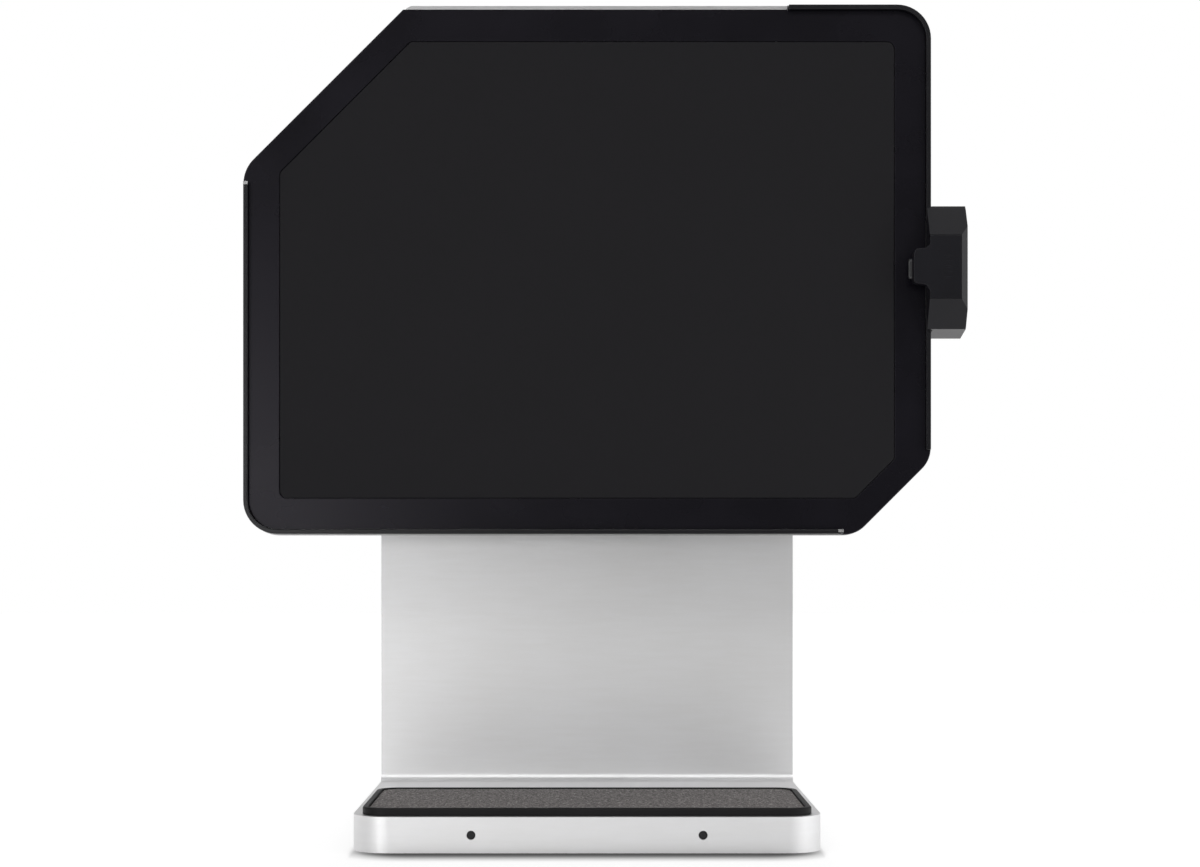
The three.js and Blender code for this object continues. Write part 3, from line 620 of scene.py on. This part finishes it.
def head_rear_shell():
    """The aluminium back, with a large soft edge and a slot for the connector's carriage."""
    low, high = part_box("head_rear_shell")
    outline = rounded([
        (low.x, low.z, HEAD_CORNER), (high.x - LOWER_CUT, low.z, 12 * MM),
        (high.x, low.z + LOWER_CUT, 12 * MM), (high.x, high.z, HEAD_CORNER),
        (low.x + UPPER_CUT, high.z, 4 * MM), (low.x, high.z - UPPER_CUT, HEAD_CORNER)], 12)
    loops = [[front(p, low.y - 0.25 * MM) for p in inset(outline, 0.15 * MM)],
             [front(p, low.y - 0.1 * MM) for p in inset(outline, 0)]]
    loops += edge_loops(outline, front, high.y, -1, 3.2 * MM, 8)
    shell = loft("tablet_plate_back", loops)
    slot_low, slot_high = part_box("connector_carriage")
    slot = box_piece(
        "slot", (0.12, slot_low.y - SEAM, slot_low.z - SEAM), (0.2, slot_high.y + SEAM, slot_high.z + SEAM))
    combine(shell, slot)
    smooth(shell, 50)
    # Darker aluminium here is painted shade on the back shell.
    finish_piece(shell, "head", "aluminium", SHADED_SHELL_ALUMINIUM, "head_rear_shell")


def head_grip_pad():
    """The soft inset pad, crowned at its edge."""
    outline = pad_outline()
    pad = prism("grip_pad", outline, front, PAD_LOW.y, PAD_HIGH.y, low_edge=0.45 * MM, steps=5)
    smooth(pad, 50)
    finish_piece(pad, "head", "soft_black", PAD_BLACK, "head_grip_pad")


# ---------------------------------------------------------------- connector
NOSE = COVER_LOW.y
SHOULDER = 12.5 * MM
CHAMFER = 2.8 * MM
HALF_FRONT, SHOULDER_UP, SHOULDER_DOWN = 13.1 * MM, 24.2 * MM, 24.9 * MM
HALF_BACK = CONNECTOR_HIGH.z - HEAD_Z
SHOULDER_BEVEL = 1.8 * MM
FINE_SEAM = 0.08 * MM
BODY_LEFT = 140.3 * MM
GRIP_LEFT, GRIP_RIGHT, GRIP_HALF = 146.2 * MM, 149.4 * MM, 0.35 * MM


def connector_block():
    profile = rounded([
        (NOSE, HEAD_Z - HALF_FRONT, 0), (SHOULDER, HEAD_Z - SHOULDER_DOWN, 0),
        (HEAD_BACK, HEAD_Z - HALF_BACK, 0.3 * MM), (HEAD_BACK, HEAD_Z + HALF_BACK, 0.3 * MM),
        (SHOULDER + SHOULDER_BEVEL, HEAD_Z + SHOULDER_UP + SHOULDER_BEVEL, 0),
        (SHOULDER, HEAD_Z + SHOULDER_UP, 0), (NOSE, HEAD_Z + HALF_FRONT, 0)], 4)
    right = CONNECTOR_HIGH.x
    block = prism("connector_body", profile, side, BODY_LEFT, right)
    beside = box_piece("beside", (0, LIP_FRONT - SEAM, 0.1), (HEAD_HALF_WIDTH + 2 * SEAM, 0.06, 0.4))
    combine(block, beside)
    wedge = rounded([
        (right - 2 * CHAMFER, NOSE - CHAMFER, 0), (right + CHAMFER, NOSE - CHAMFER, 0),
        (right + CHAMFER, NOSE + 2 * CHAMFER, 0)], 1)
    return combine(block, prism("wedge", wedge, plan, HEAD_Z - 0.05, HEAD_Z + 0.05))


def connector():
    """The housing, and the flat front cover whose hood reaches over the tablet's edge."""
    cover_space = box_piece("cover_space", (0, 0, HEAD_Z - HALF_FRONT),
                            (CONNECTOR_HIGH.x - CHAMFER, COVER_HIGH.y, HEAD_Z + HALF_FRONT))
    housing = combine(connector_block(), cover_space)
    plug_low, plug_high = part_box("usb_c_plug")
    root = box_piece("root", (0.1, plug_low.y - 0.2 * MM, plug_low.z - 0.2 * MM),
                     (0.15, plug_high.y + 0.2 * MM, plug_high.z + 0.2 * MM))
    combine(housing, root)
    soften(housing, 0.3 * MM, 3, 20)
    smooth(housing, 30)
    finish_piece(housing, "connector", "connector_black", CONNECTOR_BLACK, "connector_housing")

    left, neck, right = COVER_LOW.x + 0.3 * MM, 140.4 * MM, CONNECTOR_HIGH.x - CHAMFER - FINE_SEAM
    half = HALF_FRONT - FINE_SEAM
    outline = rounded([
        (neck, HEAD_Z - half, 0.4 * MM), (right, HEAD_Z - half, 0.4 * MM), (right, HEAD_Z + half, 0.4 * MM),
        (neck, HEAD_Z + half, 0.4 * MM), (neck, HEAD_Z + 9.4 * MM, 0.8 * MM),
        (neck - 1.5 * MM, HEAD_Z + 7.8 * MM, 0.8 * MM), (left + MM, HEAD_Z + 7.3 * MM, MM),
        (left, HEAD_Z + 5.4 * MM, 0.9 * MM), (left, HEAD_Z - 6.6 * MM, 1.5 * MM),
        (neck - 1.5 * MM, HEAD_Z - 7.4 * MM, 0.6 * MM), (neck, HEAD_Z - 9.8 * MM, 0.6 * MM)], 6)
    cover = prism("connector_front_cover", outline, front, NOSE, COVER_HIGH.y, 0.25 * MM)
    smooth(cover, 30)
    finish_piece(cover, "connector", "connector_black", CONNECTOR_BLACK, "connector_cover")
    for k in range(5):
        z = HEAD_Z + (k - 2) * 2.2 * MM
        outline = rectangle((GRIP_LEFT, z - GRIP_HALF), (GRIP_RIGHT, z + GRIP_HALF), 0.3 * MM, 5)
        bar = prism(f"grip_bar_{k + 1}", outline, front, NOSE - 0.12 * MM, NOSE + 0.2 * MM, 0.1 * MM)
        smooth(bar)
        finish_piece(bar, "connector", "connector_black", CONNECTOR_BLACK)


def stadium(low, high, grow=0.0):
    radius = (high[0] - low[0]) / 2 + grow - 1e-6
    return rectangle((low[0] - grow, low[1] - grow), (high[0] + grow, high[1] + grow), radius, 12)


def plug():
    """A drawn steel sleeve with a rolled tip, and the plastic insert with its slot."""
    low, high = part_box("usb_c_plug")
    ends = ((low.y, low.z), (high.y, high.z))
    wall = 0.35 * MM
    rim = 0.12 * MM
    outer, inner = stadium(*ends), stadium(*ends, grow=-wall)
    loops = [[side(p, high.x) for p in inset(outer, 0)]]
    loops += edge_loops(outer, side, low.x, 1, rim, 4)
    loops += reversed(edge_loops(inner, side, low.x, 1, -rim, 3))
    loops.append([side(p, high.x - MM) for p in inset(inner, 0)])
    sleeve = loft("plug_sleeve", loops)
    smooth(sleeve, 40)
    # The sleeve's very dark steel is partly painted shade.
    finish_piece(sleeve, "connector", "steel", DARK_SHADED_PLUG_STEEL, "usb_c_plug")
    low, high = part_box("plug_insert")
    core = prism("plug_core", stadium((low.y, low.z), (high.y, high.z)), side, low.x, high.x, 0.1 * MM)
    middle = (low.y + high.y) / 2
    mouth = box_piece("mouth", (low.x - MM, middle - 0.36 * MM, HEAD_Z - 3.1 * MM),
                      (high.x - 2 * MM, middle + 0.36 * MM, HEAD_Z + 3.1 * MM))
    combine(core, mouth)
    soften(core, 0.05 * MM, 2)
    smooth(core)
    finish_piece(core, "connector", "black_plastic", COVER_BLACK, "plug_insert")


# ---------------------------------------------------------------- arm, hub and hinge
BARREL_HALF = 44 * MM
WEB_LOW, WEB_HIGH = 222 * MM, 238 * MM
HOLE_CIRCLE = 34 * MM


def tilt_arm():
    """A cast barrel, two webs and the round plate that the head turns on."""
    low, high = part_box("tilt_arm")
    hub_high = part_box("rotation_hub")[1].y
    disc_front = low.y
    disc_back = disc_front + 5 * MM
    radius = (high.z - low.z) / 2
    arm = rod("cast_arm", "x", 10 * MM, -BARREL_HALF, BARREL_HALF, (HINGE_Y, HINGE_Z), 72, 0.8 * MM)
    disc = rod("disc", "y", radius, disc_front, disc_back, (0, HEAD_Z), 128, 0.9 * MM)
    combine(arm, disc, "UNION")
    for sign in (-1, 1):
        ends = sorted((sign * 20 * MM, sign * 30 * MM))
        web = prism("web", rounded([
            (disc_back - MM, WEB_LOW, 0), (HINGE_Y - 4 * MM, WEB_LOW, 0),
            (HINGE_Y - 4 * MM, WEB_HIGH, 0), (disc_back - MM, WEB_HIGH, 0)], 1), side, *ends)
        combine(arm, web, "UNION")
    soften(arm, 0.7 * MM, 3, 40)
    combine(arm, rod("bore", "y", SPINDLE_BORE, disc_front - MM, hub_high, (0, HEAD_Z), 64))
    combine(arm, rod("shaft_bore", "x", SHAFT_BORE, -0.05, 0.05, (HINGE_Y, HINGE_Z), 40))
    for k in range(6):
        angle = math.pi * (k + 0.5) / 3
        centre = (HOLE_CIRCLE * math.cos(angle), HEAD_Z + HOLE_CIRCLE * math.sin(angle))
        if abs(centre[1] - HINGE_Z) > 12 * MM:
            combine(arm, rod("blind_hole", "y", 2.2 * MM, disc_back - 1.2 * MM, disc_back + MM, centre, 32))
    smooth(arm, 35)
    finish_piece(arm, "arm", "aluminium", ARM_ALUMINIUM, "tilt_arm")


def ring(name, axis, outer, inner, low, high, centre, edge=0.25 * MM, sides=96):
    place = {"x": side, "y": front, "z": plan}[axis]
    middle = Vector(centre)
    outside, inside = [], []
    for i in range(sides):
        angle = 2 * math.pi * i / sides
        out = Vector((math.cos(angle), math.sin(angle)))
        outside.append((middle + out * outer, -out))
        inside.append((middle + out * inner, out))
    wall = edge_loops(outside, place, low, 1, edge, 3)[::-1] + edge_loops(outside, place, high, -1, edge, 3)
    wall += edge_loops(inside, place, high, -1, edge, 3)[::-1] + edge_loops(inside, place, low, 1, edge, 3)
    mesh = bpy.data.meshes.new(name)
    work = bmesh.new()
    rings = [[work.verts.new(p) for p in loop] for loop in wall]
    for first, second in zip(rings, rings[1:] + rings[:1]):
        for i in range(sides):
            j = (i + 1) % sides
            work.faces.new((first[i], first[j], second[j], second[i]))
    bmesh.ops.recalc_face_normals(work, faces=work.faces)
    work.to_mesh(mesh)
    work.free()
    return linked(name, mesh)


def hinge_and_hub():
    low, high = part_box("rotation_hub")
    hub = rod("hub_flange", "y", (high.x - low.x) / 2, low.y, low.y + 3.1 * MM, (0, HEAD_Z), 128, 0.4 * MM)
    combine(hub, rod("spindle", "y", 12 * MM, low.y + MM, high.y, (0, HEAD_Z), 64, 0.5 * MM), "UNION")
    combine(hub, rod("cable_bore", "y", 5 * MM, low.y - MM, high.y + MM, (0, HEAD_Z), 48))
    smooth(hub, 35)
    finish_piece(hub, "head", "steel", STEEL, "rotation_hub")
    low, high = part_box("spindle_nut")
    nut = ring("ring_nut", "y", (high.x - low.x) / 2, SPINDLE_BORE, low.y, high.y, (0, HEAD_Z), 0.4 * MM)
    for k in range(3):
        turned = math.pi * k / 3
        across = Vector((math.cos(turned), 0, math.sin(turned)))
        up = Vector((-across.z, 0, across.x))
        corners = []
        for a, b in ((-0.02, -1.6 * MM), (0.02, -1.6 * MM), (0.02, 1.6 * MM), (-0.02, 1.6 * MM)):
            spot = across * a + up * b
            corners.append((spot.x, HEAD_Z + spot.z, 0))
        combine(nut, prism("key_slot", rounded(corners, 1), front, high.y - 1.6 * MM, high.y + MM))
    smooth(nut, 35)
    finish_piece(nut, "head", "steel", STEEL, "spindle_nut")
    low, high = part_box("wave_washer")
    radius = (high.x - low.x) / 2
    washer = ring("spring_washer", "y", radius, SPINDLE_BORE, low.y, high.y, (0, HEAD_Z), 0.3 * MM)
    smooth(washer)
    finish_piece(washer, "head", "steel", DARK_STEEL, "wave_washer")
    for name in ("friction_washer_left", "friction_washer_right"):
        low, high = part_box(name)
        radius = (high.z - low.z) / 2
        washer = ring(
            name + "_disc", "x", radius, SHAFT_BORE, low.x, high.x, (HINGE_Y, HINGE_Z), 0.3 * MM)
        smooth(washer)
        finish_piece(washer, "stand", "steel", DARK_STEEL, name)


# ---------------------------------------------------------------- rear cover, sockets and underside
SQUARE_PORTS = ("ethernet_jack", "hdmi_socket", "usb_a_socket_1", "usb_a_socket_2", "usb_a_socket_3",
                "usb_c_socket", "sd_card_slot")
ROUND_PORTS = ("dc_inlet", "audio_jack")
PORT_GAP = 0.25 * MM
VENTS, VENT_PITCH = 15, 7
VENT_HALF, VENT_LOW, VENT_HIGH, VENT_CORNER = 1.25 * MM, 150 * MM, 172 * MM, 1.2 * MM


def port_radius(name, height):
    return {"usb_c_socket": height / 2 - 0.05 * MM, "hdmi_socket": 1.2 * MM}.get(name, 0.5 * MM)


def rear_cover():
    low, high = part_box("rear_cover")
    panel = rectangle((low.x, low.z), (high.x, high.z), 1.5 * MM, 8)
    cover = prism("back_cover", panel, front, low.y, high.y)
    half = NOTCH_HALF + NOTCH_WALL + SEAM
    notch_low = (-half, low.y - MM, NOTCH_FLOOR - NOTCH_WALL - SEAM)
    combine(cover, box_piece("notch", notch_low, (half, high.y + MM, 0.3)))
    soften(cover, 0.35 * MM, 3)
    for name in SQUARE_PORTS:
        a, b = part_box(name)
        radius = port_radius(name, b.z - a.z)
        mouth = rectangle((a.x - PORT_GAP, a.z - PORT_GAP), (b.x + PORT_GAP, b.z + PORT_GAP), radius, 6)
        combine(cover, prism("mouth", mouth, front, low.y - MM, high.y + MM))
    for name in ROUND_PORTS:
        a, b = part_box(name)
        centre = ((a.x + b.x) / 2, (a.z + b.z) / 2)
        combine(cover, rod("mouth", "y", (b.x - a.x) / 2 + PORT_GAP, low.y - MM, high.y + MM, centre, 64))
    for k in range(VENTS):
        x = (k - VENTS // 2) * VENT_PITCH * MM
        vent = rectangle((x - VENT_HALF, VENT_LOW), (x + VENT_HALF, VENT_HIGH), VENT_CORNER, 8)
        combine(cover, prism("vent", vent, front, low.y - MM, high.y + MM))
    soften(cover, 0.18 * MM, 2, 60)
    smooth(cover, 35)
    finish_piece(cover, "stand", "aluminium", COVER_ALUMINIUM, "rear_cover")


def sockets():
    """Each socket: a shell round its mouth. Some have a tongue, and the ethernet jack has contacts."""
    tongues = {"hdmi_socket": (11, 1.2), "usb_c_socket": (6.6, 0.7)}
    cavities = {"ethernet_jack": (12, 8.6, 11), "hdmi_socket": (13.6, 3.6, 8),
                "usb_c_socket": (8.4, 2.6, 6.5), "sd_card_slot": (24.4, 2.4, 9)}
    for k in range(3):
        tongues[f"usb_a_socket_{k + 1}"] = (10.6, 1.7)
        cavities[f"usb_a_socket_{k + 1}"] = (12.4, 3.9, 9)
    for name in SQUARE_PORTS:
        low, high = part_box(name)
        radius = port_radius(name, high.z - low.z)
        x, z = (low.x + high.x) / 2, (low.z + high.z) / 2
        width, height, depth = (v * MM for v in cavities[name])
        outline = rectangle((low.x, low.z), (high.x, high.z), radius, 6)
        body = prism(name + "_shell", outline, front, low.y, high.y, 0, 0.15 * MM)
        inside = min(radius, height / 2 - 0.05 * MM) if name != "ethernet_jack" else 0.3 * MM
        mouth = rectangle((x - width / 2, z - height / 2), (x + width / 2, z + height / 2), inside, 6)
        combine(body, prism("mouth", mouth, front, high.y - depth, high.y + MM))
        if name == "ethernet_jack":
            combine(body, box_piece("latch", (x - 3 * MM, high.y - depth, z + 4 * MM),
                                    (x + 3 * MM, high.y + MM, z + 5.8 * MM)))
        smooth(body, 35)
        dark = name in ("ethernet_jack", "sd_card_slot")
        slot, material = ("black_plastic", COVER_BLACK) if dark else ("steel", STEEL)
        finish_piece(body, "stand", slot, material, name)
        if name in tongues:
            wide, thick = (v * MM for v in tongues[name])
            drop = 0.8 * MM if name.startswith("usb_a") else 0
            tongue = box_piece(
                name + "_tongue", (x - wide / 2, high.y - depth - 0.2 * MM, z + drop - thick / 2),
                (x + wide / 2, high.y - 1.2 * MM, z + drop + thick / 2))
            soften(tongue, 0.1 * MM, 2)
            smooth(tongue)
            finish_piece(tongue, "stand", "black_plastic", COVER_BLACK)
        if name == "ethernet_jack":
            for k in range(8):
                spot = x + (k - 3.5) * 1.02 * MM
                pin = box_piece(
                    f"ethernet_contact_{k + 1}", (spot - 0.2 * MM, high.y - 9 * MM, z - 4.2 * MM),
                    (spot + 0.2 * MM, high.y - 2.5 * MM, z - 3.7 * MM))
                finish_piece(pin, "stand", "copper", COPPER)
    for name in ROUND_PORTS:
        low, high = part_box(name)
        centre = ((low.x + high.x) / 2, (low.z + high.z) / 2)
        bore = 2.9 * MM if name == "dc_inlet" else 1.8 * MM
        body = ring(name + "_sleeve", "y", (high.x - low.x) / 2, bore, low.y, high.y, centre, 0.2 * MM)
        smooth(body)
        finish_piece(body, "stand", "black_plastic", COVER_BLACK, name)
        back = rod(name + "_floor", "y", bore, low.y, high.y - 9 * MM, centre, 48)
        finish_piece(back, "stand", "black_plastic", COVER_BLACK)
        if name == "dc_inlet":
            pin = rod("dc_inlet_pin", "y", MM, high.y - 9.5 * MM, high.y - 1.2 * MM, centre, 32, 0.3 * MM)
            smooth(pin)
            finish_piece(pin, "stand", "steel", STEEL)


def underside():
    low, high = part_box("bottom_cover")
    outline = rounded([
        (low.x, low.y, 10.7 * MM), (high.x, low.y, 10.7 * MM), (high.x, high.y, MM), (low.x, high.y, MM)], 10)
    cover = prism("base_cover", outline, plan, low.z, high.z, 0.3 * MM)
    for k in range(4):
        screw_low, screw_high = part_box(f"base_screw_{k + 1}")
        centre = ((screw_low.x + screw_high.x) / 2, (screw_low.y + screw_high.y) / 2)
        combine(cover, rod("recess", "z", 3.1 * MM, low.z - MM, 2.3 * MM, centre, 40))
        combine(cover, rod("hole", "z", 1.7 * MM, low.z - MM, high.z + MM, centre, 32))
        screw = rod(f"screw_{k + 1}", "z", 2.8 * MM, screw_low.z, 2 * MM, centre, 40, 0.25 * MM)
        combine(screw, rod("shank", "z", 1.5 * MM, 1.8 * MM, screw_high.z, centre, 24), "UNION")
        star = []
        for i in range(12):
            reach = (1.35 if i % 2 else 1.0) * MM
            angle = math.pi * i / 6
            star.append((centre[0] + reach * math.cos(angle), centre[1] + reach * math.sin(angle), 0.1 * MM))
        combine(screw, prism("drive", rounded(star, 3), plan, screw_low.z - MM, screw_low.z + 0.5 * MM))
        smooth(screw, 35)
        finish_piece(screw, "stand", "steel", DARK_STEEL, f"base_screw_{k + 1}")
    smooth(cover, 35)
    finish_piece(cover, "stand", "black_plastic", COVER_BLACK, "bottom_cover")
    low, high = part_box("foot_mat")
    outline = rounded([
        (low.x, low.y, 10 * MM), (high.x, low.y, 10 * MM),
        (high.x, high.y, 6 * MM), (low.x, high.y, 6 * MM)], 12)
    loops = [[plan(p, high.z) for p in inset(outline, 0)]]
    loops += edge_loops(outline, plan, low.z, 1, 0.3 * MM, 4)
    for k in range(4):
        start = (3 + 3 * k) * MM
        for step, depth in ((0, 0), (0.3, 0.35), (0.9, 0.35), (1.2, 0)):
            loops.append([plan(p, low.z + depth * MM) for p in inset(outline, start + step * MM)])
    mat = loft("grip_mat", loops)
    smooth(mat, 30)
    finish_piece(mat, "stand", "foot_rubber", RUBBER, "foot_mat")


# ---------------------------------------------------------------- stage, lights and camera
FOCAL_LENGTH = 74.31
LENS_SHIFT = (0.0108, 0.09125)
CAMERA_PLACE = (0, -1.009, 0.1173)


def camera():
    """Level, at the height of the plate's lower edge, and shifted up to take in the whole object."""
    data = bpy.data.cameras.new("camera")
    data.sensor_width = 36
    data.lens = FOCAL_LENGTH
    data.shift_x, data.shift_y = LENS_SHIFT
    seen = linked("camera", data)
    seen.location = CAMERA_PLACE
    seen.rotation_euler = (math.pi / 2, 0, 0)
    bpy.context.scene.camera = seen


def vector_math(tree, operation, value, other=None, output="Vector"):
    made = tree.nodes.new("ShaderNodeVectorMath")
    made.operation = operation
    tree.links.new(value, made.inputs[0])
    if other is not None:
        made.inputs[1].default_value = other
    return made.outputs[output]


def light(name, place, target, size, radiance):
    """A softbox of a given brightness, however large it is."""
    data = bpy.data.lights.new(name, "AREA")
    data.shape = "RECTANGLE"
    data.size, data.size_y = size
    data.energy = radiance * math.pi * size[0] * size[1]
    lamp = linked(name, data)
    lamp.location = place
    lamp.rotation_euler = (Vector(target) - Vector(place)).to_track_quat("-Z", "Y").to_euler()


# The room's strength in front and behind, and the floor's tones and glow as (metres from the base, level); both
# are darkest next to the base, a painted contact shadow.
ROOM_FRONT, ROOM_BACK = 0.2, 0.55
FLOOR_PAINTED_SHADOW_TONES = [(0.0, 0.08), (0.006, 0.2), (0.017, 0.35)]
FLOOR_GLOWS_WITH_PAINTED_SHADOW = [
    (0.0, 0.11), (0.003, 0.18), (0.006, 0.3), (0.0115, 0.55), (0.018, 0.71), (0.15, 0.77), (0.9, 0.97)]
# Each softbox: place, target, size and radiance.
SOFTBOXES = {
    "overhead": ((0, -0.12, 1.4), (0, 0, 0), (1.8, 1.0), 0.75),
    "front_high": ((0, -1.0, 1.05), (0, 0, 0.1), (1.5, 0.4), 3.0),
    "back": ((0, 1.0, 1.1), (0, 0, 0), (1.6, 1.0), 0.75),
    "left": ((-0.85, -0.95, 0.66), (0, 0, 0.12), (0.7, 0.6), 2.0),
    "right": ((1.25, 0.05, 0.33), (0, 0, 0.12), (0.5, 0.6), 1.9),
    "front_right": ((0.9, -0.95, 0.42), (0, 0, 0.12), (0.5, 0.5), 2.8),
    "front_left": ((-0.38, -1.38, 0.14), (0, 0, 0.12), (0.26, 0.3), 4.0),
    "corner_left": ((-0.72, -1.12, 0.16), (0, 0, 0.05), (0.16, 0.4), 7.0),
    "corner_right": ((1.1, -0.52, 0.16), (0, 0, 0.05), (0.16, 0.4), 5.0),
}


def studio():
    """The world, the floor and the lamps.

    The world is white to the camera and a darker room to everything else. Most of the contact shadow
    is painted shadow in the floor's own tones and glow, which follow the distance from the base.
    """
    world = bpy.data.worlds.new("studio")
    bpy.context.scene.world = world
    world.use_nodes = True
    tree = world.node_tree
    room = tree.nodes["Background"]
    white = tree.nodes.new("ShaderNodeBackground")
    white.inputs["Strength"].default_value = 1.0
    white.inputs["Color"].default_value = (1, 1, 1, 1)
    room.inputs["Color"].default_value = (1, 1, 1, 1)
    direction = tree.nodes.new("ShaderNodeTexCoord")
    split = tree.nodes.new("ShaderNodeSeparateXYZ")
    tree.links.new(direction.outputs["Generated"], split.inputs[0])
    depth = tree.nodes.new("ShaderNodeMapRange")
    depth.inputs["From Min"].default_value = -0.1
    depth.inputs["From Max"].default_value = 0.9
    depth.inputs["To Min"].default_value = ROOM_FRONT
    depth.inputs["To Max"].default_value = ROOM_BACK
    tree.links.new(split.outputs["Y"], depth.inputs["Value"])
    tree.links.new(depth.outputs["Result"], room.inputs["Strength"])
    path = tree.nodes.new("ShaderNodeLightPath")
    mix = tree.nodes.new("ShaderNodeMixShader")
    tree.links.new(path.outputs["Is Camera Ray"], mix.inputs["Fac"])
    tree.links.new(room.outputs[0], mix.inputs[1])
    tree.links.new(white.outputs[0], mix.inputs[2])
    tree.links.new(mix.outputs[0], tree.nodes["World Output"].inputs["Surface"])

    bpy.ops.mesh.primitive_plane_add(size=1, location=(0, 0, 0))
    floor = bpy.context.active_object
    floor.name = "floor"
    floor.data.transform(Matrix.Translation((0, 1.3, -0.03 * MM)) @ Matrix.Diagonal((6, 3.5, 1, 1)))
    material, tree, surface = shader("floor_white_with_painted_shadow", (0.92, 0.92, 0.92), 0.9, specular=0.1)
    spot = vector_math(tree, "ABSOLUTE", object_coordinates(tree, (1, 1, 0)))
    core = (STAND_HIGH.x - 1.6 * FRONT_CORNER, STAND_HIGH.y - FRONT_CORNER, 0)
    round_core = vector_math(tree, "MAXIMUM", vector_math(tree, "SUBTRACT", spot, core), (0, 0, 0))
    past_side = vector_math(tree, "SUBTRACT", spot, (STAND_HIGH.x, 1, 0))
    beside = vector_math(tree, "MAXIMUM", past_side, (0, 0, 0))
    away = tree.nodes.new("ShaderNodeMath")
    away.operation = "MULTIPLY_ADD"
    tree.links.new(vector_math(tree, "LENGTH", beside, output="Value"), away.inputs[0])
    away.inputs[1].default_value = 3
    tree.links.new(vector_math(tree, "LENGTH", round_core, output="Value"), away.inputs[2])
    distance = away.outputs["Value"]
    # Painted contact shadow: the floor's colour and glow grow darker towards the base.
    stops = [(FRONT_CORNER + reach, (level,) * 3) for reach, level in FLOOR_PAINTED_SHADOW_TONES]
    tree.links.new(ramp(tree, distance, stops), surface.inputs["Base Color"])
    stops = [(FRONT_CORNER + reach, (level,) * 3) for reach, level in FLOOR_GLOWS_WITH_PAINTED_SHADOW]
    tree.links.new(ramp(tree, distance, stops), surface.inputs["Emission Color"])
    surface.inputs["Emission Strength"].default_value = 1.0
    floor.data.materials.append(material)
    for name, settings in SOFTBOXES.items():
        light(name, *settings)
    bpy.context.scene.view_settings.view_transform = "Standard"


camera()
studio()
stand_shell()
indicators()
charging_tray()
charging_fabric()
head_rear_shell()
head_front_plate()
head_grip_pad()
lip("lip_lower", "lower", "lip_lower_left")
lip("lip_upper", "upper", "lip_upper_right")
lip_caps()
connector()
plug()
tilt_arm()
hinge_and_hub()
rear_cover()
sockets()
underside()

NODE_LOOKS = {
    "aluminium": ARM_ALUMINIUM, "black_plastic": COVER_BLACK, "soft_black": PAD_BLACK,
    "connector_black": CONNECTOR_BLACK, "grey_fabric": FABRIC, "foot_rubber": RUBBER, "steel": STEEL,
    "board": BOARD, "copper": COPPER, "ferrite": FERRITE, "magnet": STEEL, "light_pipe": LENS,
    "cable_grey": RUBBER,
}
for entry in frame["record"]["subparts"]:
    node = frame["nodes"][entry["node"]]
    node.data.materials.clear()
    node.data.materials.append(NODE_LOOKS[entry["material_slot"]])
